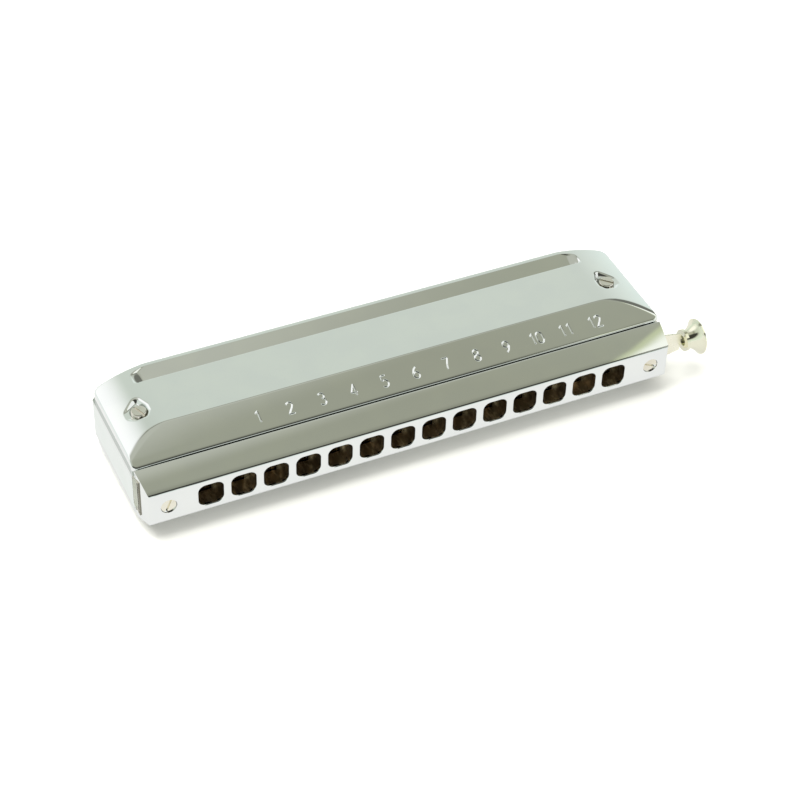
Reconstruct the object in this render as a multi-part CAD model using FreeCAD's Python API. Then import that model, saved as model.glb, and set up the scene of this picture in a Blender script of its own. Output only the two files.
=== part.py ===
"""Fourteen-hole chromatic harmonica with a slide button, in millimetres.

The pieces are drawn in instrument coordinates: X runs along the body towards the button,
Y is the depth behind the mouthpiece's front face, and Z is the height above the row of holes.
Everything is then shifted once, so that the origin is the centre of the lower cover's rest face.
"""
import FreeCAD, Part
import math
import os

V = FreeCAD.Vector
PARTS = "parts"

# ---- Holes and chambers ----
hole_count = 14
hole_pitch = 9.5
hole_side = 7.2
hole_corner = 2.1
chamber_wall = 1.5
web_thickness = 1.0
chamber_rear_wall = 4.0

# ---- Comb and reed plates ----
end_block_length = 15.75
body_front = 8.4
body_depth = 33.9
comb_thickness = 11.0
plate_thickness = 1.0
plate_corner = 0.8

# ---- Covers ----
half_height = 12.4
cover_sheet = 0.8
cover_setback = 0.3
cover_gap = 0.35
cover_front_height = 2.4
slope_top_depth = 19.2
crown_run = 14.7
crown_radius = 39.0
crown_edge_radius = 0.6
fold_radius = 0.5
crest_radius = 1.5
lip_radius = 1.0
front_corner_radius = 1.6
rear_corner_radius = 2.6
inside_radius = 0.2
rear_overhang = 2.5
rear_lip_height = 1.5
rear_corner_depth = 2.4
rear_corner_length = 15.9
groove_rear_land = 1.9
groove_run = 5.6
groove_end_margin = 10.9
groove_corner_depth = 1.9
groove_corner_length = 4.4
groove_corner_radius = 1.0
groove_drop = 1.6
groove_wall_run = 0.5
dimple_depth = 0.9
dimple_wall_run = 0.4
dimple_corner_radius = 1.0
dimple_peak = 5.9
dimple_peak_inboard = 0.8
dimple_outboard = 3.9
dimple_head_clearance = 0.2
dimple_front_half = 1.5
dimple_side_front = 1.0
dimple_side_rear = 1.4

# ---- Mouthpiece ----
mouthpiece_front_setback = 1.65
mouthpiece_rear_setback = 0.55
mouthpiece_face_half = 5.3
mouthpiece_rear_height = 8.35
mouthpiece_gap = 0.1
mouthpiece_edge_round = 0.8
hole_rim_radius = 0.4

# ---- Slide assembly ----
slide_travel = 4.75
slide_thickness = 0.5
slide_clearance = 0.05
slide_edge_clearance = 0.1
front_plate_thickness = 0.3
rear_plate_thickness = 1.9
cage_half_height = 6.05
cage_setback = 0.6
cage_lip = 0.3
window_width = 4.1
window_height = 4.2
tail_root_half_height = 4.3
tail_tip_half_height = 3.0
tail_length = 6.8
tang_half_height = 1.1
slide_left_setback = 4.9

# ---- Button ----
button_gap = 0.8
button_flange_radius = 3.3
button_flange_length = 0.9
button_neck_radius = 2.7
button_groove_width = 0.4
button_flare_run_share = 0.6
button_flare_rise_share = 0.42
button_rim_radius = 5.4
button_rim_width = 0.45
button_length = 5.2
button_dome = 0.6
button_socket_radius = 1.6
button_socket_depth = 1.2
tang_depth = 3.2

# ---- Fasteners ----
screw_clearance = 0.04
hole_spare_depth = 0.4
head_edge_radius = 0.3
mouthpiece_screw_inset = 7.2
mouthpiece_screw_radius = 1.0
mouthpiece_screw_length = 16.55
mouthpiece_head_radius = 2.2
mouthpiece_head_length = 1.3
mouthpiece_head_recess = 0.35
mouthpiece_head_clearance = 0.12
driver_slot_width = 0.6
driver_slot_depth = 0.6
sleeve_radius = 1.5
sleeve_clearance = 0.08
cover_screw_inset = 8.25
cover_screw_y = 26.4
cover_screw_radius = 1.0
cover_head_radius = 2.2
cover_head_height = 1.15
left_cover_slot_angle = -68.0
right_cover_slot_angle = -44.0
left_front_slot_angle = 68.0
right_front_slot_angle = -26.0
cover_screw_bite = 4.0
post_radius = 2.2
plate_screw_radius = 0.7
plate_screw_bite = 3.0
plate_head_radius = 1.3
plate_head_height = 0.6
plate_slot_width = 0.5
plate_slot_depth = 0.3
end_screw_inset = 3.2
rear_screw_inset = 1.9
rear_screw_pitch = 38.0
rear_screw_count = 4

# ---- Reeds ----
reed_thickness = 0.25
reed_width = 2.3
reed_slot_margin = 0.15
reed_tip_share = 0.8
reed_offset = 2.0
reed_longest = 19.0
reed_shortest = 10.0
reed_pad_length = 3.4
reed_pad_width = 3.0
draw_pad_front = 2.2
blow_pad_rear = 0.6
rivet_radius = 0.6
rivet_head_radius = 0.95
rivet_head_height = 0.3
valve_thickness = 0.18
valve_width = 3.1
valve_tip_margin = 1.4
valve_root_margin = 0.7
valved_holes = 12

# ---- Return spring ----
spring_wire_radius = 0.35
spring_bend_radius = 1.9
spring_bend_inset = 10.6
spring_bend_y = 16.2
spring_height = 3.2
spring_left_angle = 8.0
spring_right_angle = 30.0
spring_left_leg = 6.0
spring_clearance = 0.05
pocket_right_margin = 2.0
pocket_rear_margin = 0.75
pocket_floor = 1.8
spring_hole_clearance = 0.15

# ---- Worked-out places ----
comb_half = comb_thickness / 2
seam = comb_half + plate_thickness
hole_row_half = (hole_count - 1) / 2 * hole_pitch + hole_side / 2
body_half_length = hole_row_half + end_block_length
body_rear = body_front + body_depth
chamber_width = hole_pitch - chamber_wall
chamber_rear = body_rear - chamber_rear_wall
rear_plate_front = body_front - rear_plate_thickness
slide_rear = rear_plate_front - slide_clearance
slide_front = slide_rear - slide_thickness
front_plate_rear = slide_front - slide_clearance
front_plate_front = front_plate_rear - front_plate_thickness
slide_mid = (slide_front + slide_rear) / 2
slide_half_height = cage_half_height - cage_lip - slide_edge_clearance
cage_half_length = body_half_length - cage_setback
slide_left_end = -cage_half_length + slide_left_setback
tail_end = cage_half_length + tail_length
button_start = tail_end + button_gap
mouthpiece_front_half = body_half_length - mouthpiece_front_setback
mouthpiece_rear_half = body_half_length - mouthpiece_rear_setback
mouthpiece_screw_x = body_half_length - mouthpiece_screw_inset
spring_bend_x = body_half_length - spring_bend_inset
mouthpiece_rear = body_front - mouthpiece_gap
cover_front = mouthpiece_rear + cover_gap
cover_front_top = seam + cover_front_height
cover_half_length = body_half_length - cover_setback
crown_start = cover_half_length - crown_run
rear_lip_depth = body_rear + rear_overhang
groove_end = rear_lip_depth - groove_rear_land
groove_start = groove_end - groove_run
groove_half_length = cover_half_length - groove_end_margin
cover_screw_x = cover_half_length - cover_screw_inset
dimple_near = cover_head_radius + dimple_head_clearance + dimple_wall_run
rest_mid_depth = (slope_top_depth + groove_start) / 2
window_centre = (web_thickness + window_height) / 2
sleeve_eye = sleeve_radius + sleeve_clearance
beyond = 1.0
flush = 0.01


# ---- Plain shapes ----
def hole_x(index):
    """X of one hole's centre, counted from 0 at the left."""
    return (index - (hole_count - 1) / 2) * hole_pitch


def box(x0, x1, y0, y1, z0, z1):
    """A box between two corners."""
    return Part.makeBox(x1 - x0, y1 - y0, z1 - z0, V(x0, y0, z0))


def rod(radius, start, end):
    """A round rod between two points."""
    along = end - start
    return Part.makeCylinder(radius, along.Length, start, along)


def cone(radius0, radius1, start, end):
    """A cone between two points."""
    along = end - start
    return Part.makeCone(radius0, radius1, along.Length, start, along)


def polygon(points):
    """A closed run of straight lines."""
    return Part.makePolygon(points + [points[0]])


def prism(points, along):
    """A solid with a polygon for its section."""
    return Part.Face(polygon(points)).extrude(along)


def rounded(points, radii):
    """A closed wire through a polygon's corners, each turned by an arc of its own radius."""
    count = len(points)
    edges = []
    joins = []
    for index, (corner, radius) in enumerate(zip(points, radii)):
        back = (points[index - 1] - corner).normalize()
        ahead = (points[(index + 1) % count] - corner).normalize()
        half_angle = back.getAngle(ahead) / 2
        reach = radius / math.tan(half_angle)
        middle = (back + ahead).normalize()
        nearest = corner + middle * (radius / math.sin(half_angle) - radius)
        joins.append((corner + back * reach, nearest, corner + ahead * reach))
    for index, (start, nearest, end) in enumerate(joins):
        if radii[index] > 0:
            edges.append(Part.Arc(start, nearest, end).toShape())
        edges.append(Part.makeLine(end, joins[(index + 1) % count][0]))
    return Part.Wire(edges)


def rounded_prism(points, radii, along):
    """A solid whose section is a polygon with rounded corners."""
    return Part.Face(rounded(points, radii)).extrude(along)


def moved_in(points, distances, normal):
    """A convex polygon with each side moved inwards by its own distance."""
    count = len(points)
    lines = []
    for index in range(count):
        start = points[index]
        run = (points[(index + 1) % count] - start).normalize()
        inwards = normal.cross(run)
        lines.append((start + inwards * distances[index], run))
    corners = []
    for index in range(count):
        here, run = lines[index]
        before, run_before = lines[index - 1]
        across = normal.cross(run)
        share = (here - before).dot(across) / run_before.dot(across)
        corners.append(before + run_before * share)
    return corners


def cut_all(shape, tools):
    """Cut many tools from a shape in one step."""
    return shape.cut(Part.makeCompound(tools))


def flip(shape):
    """The same shape on the other side of the row of holes."""
    return shape.mirror(V(0, 0, 0), V(0, 0, 1))


def mirror_x(shape):
    """The same shape at the other end of the body."""
    return shape.mirror(V(0, 0, 0), V(1, 0, 0))


def turned(angle, first, second):
    """A unit vector at an angle, in degrees, from one axis towards another."""
    return first * math.cos(math.radians(angle)) + second * math.sin(math.radians(angle))


def slotted(screw, centre, across, along, width, depth):
    """Cut a driver slot that runs along across and sinks along along into a screw's head."""
    length = 4 * mouthpiece_head_radius
    side = across.cross(along)
    corner = centre - across * (length / 2) - side * (width / 2) - along * beyond
    points = [
        corner,
        corner + across * length,
        corner + across * length + side * width,
        corner + side * width,
    ]
    return screw.cut(prism(points, along * (beyond + depth)))


def export(node, solids):
    """Shift a list of solids to the rest face's centre and write them to one file."""
    moved = []
    for solid in solids:
        copy = solid.copy()
        copy.translate(V(0, -rest_mid_depth, half_height))
        moved.append(copy)
    shape = moved[0] if len(moved) == 1 else Part.makeCompound(moved)
    shape.exportStep(os.path.join(PARTS, node + ".step"))
    volume = sum(solid.Volume for solid in moved)
    print("%-20s solids %3d  volume %9.2f  valid %s" % (node, len(shape.Solids), volume, shape.isValid()))


# ---- Comb and reed plates ----
def body_outline(z0, z1):
    """The comb's plan, with its rear corners cut, between two heights."""
    points = [
        V(-body_half_length, body_front, z0),
        V(body_half_length, body_front, z0),
        V(body_half_length, body_rear - plate_corner, z0),
        V(body_half_length - plate_corner, body_rear, z0),
        V(-body_half_length + plate_corner, body_rear, z0),
        V(-body_half_length, body_rear - plate_corner, z0),
    ]
    return prism(points, V(0, 0, z1 - z0))


def spring_leg_ends():
    """The spring's four corner points: the left leg's end and start, then the right leg's."""
    centre = V(spring_bend_x, spring_bend_y, spring_height)
    left_out = turned(spring_left_angle, V(-1, 0, 0), V(0, 1, 0))
    right_out = turned(spring_right_angle, V(1, 0, 0), V(0, 1, 0))
    left_start = centre + left_out * spring_bend_radius
    right_start = centre + right_out * spring_bend_radius
    left_run = turned(spring_left_angle, V(0, -1, 0), V(-1, 0, 0))
    right_run = turned(spring_right_angle, V(0, -1, 0), V(1, 0, 0))
    reach = (right_start.y - slide_mid) / right_run.dot(V(0, -1, 0))
    left_end = left_start + left_run * spring_left_leg
    right_end = right_start + right_run * reach
    return left_end, left_start, right_start, right_end


def spring_x_at(depth):
    """X of the right leg's centre line at one depth."""
    right_start, right_end = spring_leg_ends()[2:]
    share = (depth - right_start.y) / (right_end.y - right_start.y)
    return right_start.x + (right_end.x - right_start.x) * share


def spring_pocket():
    """The pocket in the comb's right end: its left wall bears the spring's left leg."""
    left = spring_leg_ends()[0].x - spring_wire_radius - spring_clearance
    right = body_half_length - pocket_right_margin
    rear = spring_bend_y + spring_bend_radius + spring_wire_radius + pocket_rear_margin
    return left, right, rear


def plate_screw_places():
    """Centres of the screws that hold one reed plate."""
    places = []
    pocket_rear = spring_pocket()[2]
    for sign in (-1, 1):
        x_end = sign * (body_half_length - end_screw_inset)
        places.append((x_end, pocket_rear + end_screw_inset))
        places.append((x_end, chamber_rear - end_screw_inset))
    for index in range(rear_screw_count):
        x_rear = (index - (rear_screw_count - 1) / 2) * rear_screw_pitch
        places.append((x_rear, body_rear - rear_screw_inset))
    return places


def make_comb():
    """The metal comb: two rows of chambers either side of a middle web."""
    comb = body_outline(-comb_half, comb_half)
    tools = []
    for index in range(hole_count):
        left = hole_x(index) - chamber_width / 2
        right = left + chamber_width
        upper = box(left, right, body_front - beyond, chamber_rear, web_thickness / 2, comb_half + beyond)
        tools += [upper, flip(upper)]
    for sign in (-1, 1):
        start = V(sign * mouthpiece_screw_x, body_front - beyond, 0)
        screw_end = mouthpiece_head_recess + mouthpiece_screw_length
        end = V(sign * mouthpiece_screw_x, screw_end + hole_spare_depth, 0)
        tools.append(rod(mouthpiece_screw_radius + screw_clearance, start, end))
        top = V(sign * cover_screw_x, cover_screw_y, comb_half + beyond)
        low = V(sign * cover_screw_x, cover_screw_y, comb_half - cover_screw_bite - hole_spare_depth)
        cover_hole = rod(cover_screw_radius + screw_clearance, low, top)
        tools += [cover_hole, flip(cover_hole)]
    for x, y in plate_screw_places():
        low = V(x, y, comb_half - plate_screw_bite - hole_spare_depth)
        hole = rod(plate_screw_radius + screw_clearance, low, V(x, y, comb_half + beyond))
        tools += [hole, flip(hole)]
    left, right, rear = spring_pocket()
    tools.append(box(left, right, body_front - beyond, rear, pocket_floor, comb_half + beyond))
    return cut_all(comb, tools)


def reed_length(index):
    """Reeds shorten evenly from the lowest hole to the highest."""
    share = index / (hole_count - 1)
    return reed_longest + (reed_shortest - reed_longest) * share


def draw_root():
    """Depth at which a draw reed's tongue leaves its pad."""
    return body_front + draw_pad_front + reed_pad_length


def blow_root():
    """Depth at which a blow reed's tongue leaves its pad."""
    return chamber_rear - blow_pad_rear - reed_pad_length


def reed_slots(index):
    """The draw and blow slots of one hole, as (x, front, rear)."""
    length = reed_length(index) + reed_slot_margin
    x = hole_x(index)
    draw = (x + reed_offset, draw_root(), draw_root() + length)
    blow = (x - reed_offset, blow_root() - length, blow_root())
    return draw, blow


def rivet_places():
    """Centres of the draw rivets and of the blow rivets."""
    draw_y = draw_root() - reed_pad_length / 2
    blow_y = blow_root() + reed_pad_length / 2
    draws = [(hole_x(index) + reed_offset, draw_y) for index in range(hole_count)]
    blows = [(hole_x(index) - reed_offset, blow_y) for index in range(hole_count)]
    return draws, blows


def make_reed_plate():
    """The upper reed plate, with a slot under every reed."""
    plate = body_outline(comb_half, seam)
    low = comb_half - beyond
    top = seam + beyond
    half = reed_width / 2 + reed_slot_margin
    tools = []
    for index in range(hole_count):
        for x, front, rear in reed_slots(index):
            tools.append(box(x - half, x + half, front, rear, low, top))
    draws, blows = rivet_places()
    for x, y in draws + blows:
        tools.append(rod(rivet_radius + screw_clearance, V(x, y, low), V(x, y, top)))
    for x, y in plate_screw_places():
        tools.append(rod(plate_screw_radius + screw_clearance, V(x, y, low), V(x, y, top)))
    for sign in (-1, 1):
        start = V(sign * cover_screw_x, cover_screw_y, low)
        end = V(sign * cover_screw_x, cover_screw_y, top)
        tools.append(rod(cover_screw_radius + screw_clearance, start, end))
    return cut_all(plate, tools)


def reed(x, root, tip, pad_end, z0):
    """One reed: a pad that is riveted down and a tongue that tapers towards its tip."""
    pad_half = reed_pad_width / 2
    half = reed_width / 2
    tip_half = half * reed_tip_share
    points = [
        V(x - pad_half, pad_end, z0),
        V(x + pad_half, pad_end, z0),
        V(x + pad_half, root, z0),
        V(x + half, root, z0),
        V(x + tip_half, tip, z0),
        V(x - tip_half, tip, z0),
        V(x - half, root, z0),
        V(x - pad_half, root, z0),
    ]
    blade = prism(points, V(0, 0, reed_thickness))
    y = (root + pad_end) / 2
    hole = rod(rivet_radius + screw_clearance, V(x, y, z0 - beyond), V(x, y, z0 + beyond))
    return blade.cut(hole)


def make_draw_reeds():
    """Draw reeds lie on the outer side of the upper plate, riveted near the mouthpiece."""
    root = draw_root()
    pad_end = root - reed_pad_length
    places = [(hole_x(index) + reed_offset, root + reed_length(index)) for index in range(hole_count)]
    return [reed(x, root, tip, pad_end, seam) for x, tip in places]


def make_blow_reeds():
    """Blow reeds lie on the chamber side of the upper plate, riveted near the rear."""
    root = blow_root()
    pad_end = root + reed_pad_length
    places = [(hole_x(index) - reed_offset, root - reed_length(index)) for index in range(hole_count)]
    return [reed(x, root, tip, pad_end, comb_half - reed_thickness) for x, tip in places]


def headed_pin(x, y, shank_radius, shank_low, shank_high, head_radius, head_low, head_high):
    """An upright pin with a round head at one end."""
    shank = rod(shank_radius, V(x, y, shank_low), V(x, y, shank_high))
    head = rod(head_radius, V(x, y, head_low), V(x, y, head_high))
    return shank.fuse(head).removeSplitter()


def make_rivets():
    """Every rivet of the upper plate: its shank is flush at one side and its head holds the pad."""
    draws, blows = rivet_places()
    outer = seam + reed_thickness
    inner = comb_half - reed_thickness
    outer_top = outer + rivet_head_height
    inner_low = inner - rivet_head_height
    rivets = []
    for x, y in draws:
        rivets.append(headed_pin(x, y, rivet_radius, comb_half, outer, rivet_head_radius, outer, outer_top))
    for x, y in blows:
        rivets.append(headed_pin(x, y, rivet_radius, inner, seam, rivet_head_radius, inner_low, inner))
    return rivets


def valve(x, front, rear, z0):
    """A thin flap that covers one slot on the side away from its reed."""
    half = valve_width / 2
    return box(x - half, x + half, front, rear, z0, z0 + valve_thickness)


def make_outer_valves():
    """Flaps over the blow slots, glued near the rear on the outer side of the upper plate."""
    valves = []
    for index in range(valved_holes):
        x, front, rear = reed_slots(index)[1]
        valves.append(valve(x, front - valve_tip_margin, rear + valve_root_margin, seam))
    return valves


def make_inner_valves():
    """Flaps over the draw slots, glued near the front on the chamber side of the upper plate."""
    valves = []
    for index in range(valved_holes):
        x, front, rear = reed_slots(index)[0]
        z0 = comb_half - valve_thickness
        valves.append(valve(x, front - valve_root_margin, rear + valve_tip_margin, z0))
    return valves


def make_plate_screws():
    """Screws that hold the upper reed plate to the comb."""
    screws = []
    low = comb_half - plate_screw_bite
    top = seam + plate_head_height
    for x, y in plate_screw_places():
        screw = headed_pin(x, y, plate_screw_radius, low, seam, plate_head_radius, seam, top)
        crown = V(x, y, top)
        screws.append(slotted(screw, crown, V(1, 0, 0), V(0, 0, -1), plate_slot_width, plate_slot_depth))
    return screws


# ---- Covers ----
def crown_height(x):
    """Height of the cover's top above the row of holes, which falls away towards its ends."""
    run = max(abs(x) - crown_start, 0.0)
    return half_height - crown_radius + math.sqrt(crown_radius ** 2 - run ** 2)


def end_form(inset, base):
    """The cover seen along Y: a flat top whose ends fall in a wide arc, then a tight one."""
    wide = crown_radius - inset
    tight = max(crown_edge_radius - inset, inside_radius)
    half = cover_half_length - inset
    top = half_height - inset
    wide_centre = V(crown_start, 0, half_height - crown_radius)
    tight_run = half - tight - crown_start
    tight_centre = wide_centre + V(tight_run, 0, math.sqrt((wide - tight) ** 2 - tight_run ** 2))
    outwards = (tight_centre - wide_centre).normalize()
    start_angle = math.degrees(outwards.getAngle(V(0, 0, 1)))

    def on_arc(centre, radius, angle):
        return centre + turned(angle, V(0, 0, 1), V(1, 0, 0)) * radius

    top_right = V(crown_start, 0, top)
    meet = on_arc(wide_centre, wide, start_angle)
    side_top = on_arc(tight_centre, tight, 90)
    wide_arc = Part.Arc(top_right, on_arc(wide_centre, wide, start_angle / 2), meet).toShape()
    tight_arc = Part.Arc(meet, on_arc(tight_centre, tight, (start_angle + 90) / 2), side_top).toShape()
    side = Part.makeLine(side_top, V(half, 0, base))
    right = [wide_arc, tight_arc, side]
    left = [mirror_x(edge) for edge in right]
    flat_top = Part.makeLine(V(-crown_start, 0, top), top_right)
    flat = [flat_top, Part.makeLine(V(half, 0, base), V(-half, 0, base))]
    face = Part.Face(Part.Wire(Part.__sortEdges__(flat + right + left)))
    return face.extrude(V(0, rear_lip_depth + beyond, 0))


def side_form(inset, base):
    """The cover seen along X: a short front wall, the number slope, the flat top and the rear lip."""
    start = -cover_half_length - beyond
    points = [
        V(start, cover_front, base),
        V(start, rear_lip_depth, base),
        V(start, rear_lip_depth, half_height),
        V(start, slope_top_depth, half_height),
        V(start, cover_front, cover_front_top),
    ]
    points = moved_in(points, [0, inset, inset, inset, inset], V(1, 0, 0))
    corners = [0, 0, lip_radius, crest_radius, fold_radius]
    radii = [max(radius - inset, inside_radius) if radius else 0 for radius in corners]
    return rounded_prism(points, radii, V(-2 * start, 0, 0))


def plan_form(inset, base):
    """The cover seen from above, with rounded front corners and cut rear corners."""
    half = cover_half_length
    points = [
        V(-half, cover_front, base),
        V(half, cover_front, base),
        V(half, rear_lip_depth - rear_corner_depth, base),
        V(half - rear_corner_length, rear_lip_depth, base),
        V(-half + rear_corner_length, rear_lip_depth, base),
        V(-half, rear_lip_depth - rear_corner_depth, base),
    ]
    points = moved_in(points, [inset] * len(points), V(0, 0, 1))
    front = max(front_corner_radius - inset, inside_radius)
    rear = max(rear_corner_radius - inset, inside_radius)
    return rounded_prism(points, [front, front, rear, rear, rear, rear], V(0, 0, 2 * half_height))


def groove(outset):
    """The finger groove pressed into the rear: a steep front wall and a floor that rises backwards."""
    half = groove_half_length
    side = -half - outset - beyond
    top = half_height + beyond
    section = [
        V(side, groove_start, half_height),
        V(side, groove_start + groove_wall_run, half_height - groove_drop),
        V(side, groove_end, half_height),
        V(side, groove_end, top),
        V(side, groove_start, top),
    ]
    section = moved_in(section, [-outset, -outset, -outset, 0, -outset], V(1, 0, 0))
    run = prism(section, V(-2 * side, 0, 0))
    plan = [
        V(-half, groove_start, 0),
        V(half, groove_start, 0),
        V(half, groove_end - groove_corner_depth, 0),
        V(half - groove_corner_length, groove_end, 0),
        V(-half + groove_corner_length, groove_end, 0),
        V(-half, groove_end - groove_corner_depth, 0),
    ]
    plan = moved_in(plan, [-outset] * len(plan), V(0, 0, 1))
    radii = [groove_corner_radius + outset] * len(plan)
    return run.common(rounded_prism(plan, radii, V(0, 0, top)))


def cover_seat():
    """Height of the dimple's floor, on which a cover screw's head bears."""
    return crown_height(cover_screw_x) - dimple_depth


def dimple(outset):
    """The five-sided dimple under the right cover screw's head, peaked towards the rear."""
    x = cover_screw_x
    y = cover_screw_y
    wide = [
        V(x - dimple_front_half, y - dimple_near, 0),
        V(x + dimple_front_half, y - dimple_near, 0),
        V(x + dimple_outboard, y - dimple_side_front, 0),
        V(x + dimple_outboard, y + dimple_side_rear, 0),
        V(x - dimple_peak_inboard, y + dimple_peak, 0),
        V(x - dimple_near, y + dimple_side_rear, 0),
        V(x - dimple_near, y - dimple_side_front, 0),
    ]
    wires = []
    for step in (-1, 1):
        spread = outset + step * dimple_wall_run
        points = moved_in(wide, [-spread] * len(wide), V(0, 0, 1))
        height = cover_seat() - outset + (step + 1) * dimple_depth
        points = [point + V(0, 0, height) for point in points]
        wires.append(rounded(points, [dimple_corner_radius + spread] * len(points)))
    return Part.makeLoft(wires, True, True)


def cover_form(inset, base):
    """The cover's outer form, or with an inset its hollow."""
    form = side_form(inset, base).common(end_form(inset, base)).common(plan_form(inset, base))
    right_dimple = dimple(inset)
    return cut_all(form, [groove(inset), right_dimple, mirror_x(right_dimple)])


def make_cover():
    """The upper cover: a pressed sheet, open underneath and along its rear."""
    shell = cover_form(0, seam).cut(cover_form(cover_sheet, seam - beyond))
    half = cover_half_length - rear_corner_length - lip_radius
    lip_low = half_height - rear_lip_height
    tools = [box(-half, half, groove_end, rear_lip_depth + beyond, seam - beyond, lip_low)]
    for sign in (-1, 1):
        low = V(sign * cover_screw_x, cover_screw_y, seam)
        top = V(sign * cover_screw_x, cover_screw_y, half_height + beyond)
        tools.append(rod(cover_screw_radius + screw_clearance, low, top))
    return cut_all(shell, tools)


def make_cover_screws():
    """The two screws of the upper cover, with their heads in the dimples."""
    screws = []
    seat = cover_seat()
    top = seat + cover_head_height
    for sign, angle in ((-1, left_cover_slot_angle), (1, right_cover_slot_angle)):
        x = sign * cover_screw_x
        low = comb_half - cover_screw_bite
        screw = headed_pin(x, cover_screw_y, cover_screw_radius, low, seat, cover_head_radius, seat, top)
        edges = [edge for edge in screw.Edges if edge.BoundBox.ZMin > top - head_edge_radius]
        screw = screw.makeFillet(head_edge_radius, edges)
        run = turned(angle, V(1, 0, 0), V(0, 1, 0))
        crown = V(x, cover_screw_y, top)
        screws.append(slotted(screw, crown, run, V(0, 0, -1), driver_slot_width, driver_slot_depth))
    return screws


def make_posts():
    """Tubes between the reed plate and the cover, round the cover screws."""
    posts = []
    top = cover_seat() - cover_sheet
    for sign in (-1, 1):
        start = V(sign * cover_screw_x, cover_screw_y, seam)
        end = V(sign * cover_screw_x, cover_screw_y, top)
        posts.append(rod(post_radius, start, end).cut(rod(cover_screw_radius + screw_clearance, start, end)))
    return posts


# ---- Mouthpiece ----
def rounded_hole(x, side, corner, y0, y1):
    """A square prism along Y with round corners, centred on the row of holes."""
    half = side / 2
    points = [V(x - half, y0, -half), V(x - half, y0, half), V(x + half, y0, half), V(x + half, y0, -half)]
    return rounded_prism(points, [corner] * 4, V(0, y1 - y0, 0))


def hole_rims(bar):
    """The edges of the holes' mouths in the bar's front face."""
    half = hole_side / 2 + flush
    rims = []
    for edge in bar.Edges:
        reach = edge.BoundBox
        in_face = max(abs(reach.YMin), abs(reach.YMax)) < flush
        if in_face and any(abs(edge.CenterOfMass.x - hole_x(index)) < half for index in range(hole_count)):
            if max(abs(reach.ZMin), abs(reach.ZMax)) < half:
                rims.append(edge)
    return rims


def make_mouthpiece():
    """The mouthpiece bar: sloped above and below, with a rear pocket for the slide."""
    wires = []
    for depth, half, tall in (
        (0, mouthpiece_front_half, mouthpiece_face_half),
        (mouthpiece_rear, mouthpiece_rear_half, mouthpiece_rear_height),
    ):
        low = [V(-half, depth, -tall), V(half, depth, -tall)]
        wires.append(polygon(low + [V(half, depth, tall), V(-half, depth, tall)]))
    bar = Part.makeLoft(wires, True, True)
    edges = [edge for edge in bar.Edges if max(v.Point.y for v in edge.Vertexes) < mouthpiece_rear / 2]
    bar = bar.makeFillet(mouthpiece_edge_round, edges)
    half = cage_half_height + slide_clearance
    wide = mouthpiece_rear_half + beyond
    tools = [box(-wide, wide, front_plate_front, mouthpiece_rear + beyond, -half, half)]
    for index in range(hole_count):
        tools.append(rounded_hole(hole_x(index), hole_side, hole_corner, 0, body_front))
    bar = cut_all(bar, tools)
    bar = bar.makeFillet(hole_rim_radius, hole_rims(bar))
    tools = []
    for sign in (-1, 1):
        mouth = V(sign * mouthpiece_screw_x, 0, 0)
        start = mouth + V(0, mouthpiece_head_recess, 0)
        wide_radius = mouthpiece_head_radius + mouthpiece_head_clearance
        narrow_radius = mouthpiece_screw_radius + screw_clearance
        tools.append(rod(narrow_radius, start, start + V(0, body_front, 0)))
        tools.append(rod(wide_radius, mouth, start))
        tools.append(cone(wide_radius, narrow_radius, start, start + V(0, mouthpiece_head_length, 0)))
    return cut_all(bar, tools)


def make_mouthpiece_screws():
    """The two countersunk screws that hold the mouthpiece and slide to the comb."""
    screws = []
    for sign, angle in ((-1, left_front_slot_angle), (1, right_front_slot_angle)):
        start = V(sign * mouthpiece_screw_x, mouthpiece_head_recess, 0)
        shank = rod(mouthpiece_screw_radius, start, start + V(0, mouthpiece_screw_length, 0))
        head_end = start + V(0, mouthpiece_head_length, 0)
        head = cone(mouthpiece_head_radius, mouthpiece_screw_radius, start, head_end)
        screw = shank.fuse(head).removeSplitter()
        run = turned(angle, V(1, 0, 0), V(0, 0, 1))
        screws.append(slotted(screw, start, run, V(0, 1, 0), driver_slot_width, driver_slot_depth))
    return screws


# ---- Slide and its cage ----
def screw_eyes(y0, y1):
    """Round holes that clear the soft sleeves on the mouthpiece screws, as tools."""
    eyes = []
    for sign in (-1, 1):
        eyes.append(rod(sleeve_eye, V(sign * mouthpiece_screw_x, y0, 0), V(sign * mouthpiece_screw_x, y1, 0)))
    return eyes


def windows(shift, y0, y1, row):
    """One row of air windows, as tools; row is 1 for the upper and -1 for the lower."""
    tools = []
    for index in range(hole_count):
        x = hole_x(index) + shift
        low = row * window_centre - window_height / 2
        tools.append(box(x - window_width / 2, x + window_width / 2, y0, y1, low, low + window_height))
    return tools


def make_front_plate():
    """The cage's front plate, whose lips fold back over the slide's upper and lower edges."""
    half = cage_half_height
    plate = box(-cage_half_length, cage_half_length, front_plate_front, front_plate_rear, -half, half)
    lip = box(-cage_half_length, cage_half_length, front_plate_front, rear_plate_front, half - cage_lip, half)
    plate = plate.fuse([lip, flip(lip)]).removeSplitter()
    y0 = front_plate_front - beyond
    y1 = front_plate_rear + beyond
    tall = window_centre + window_height / 2
    tools = screw_eyes(y0, y1)
    for index in range(hole_count):
        x = hole_x(index)
        tools.append(box(x - window_width / 2, x + window_width / 2, y0, y1, -tall, tall))
    return cut_all(plate, tools)


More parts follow.
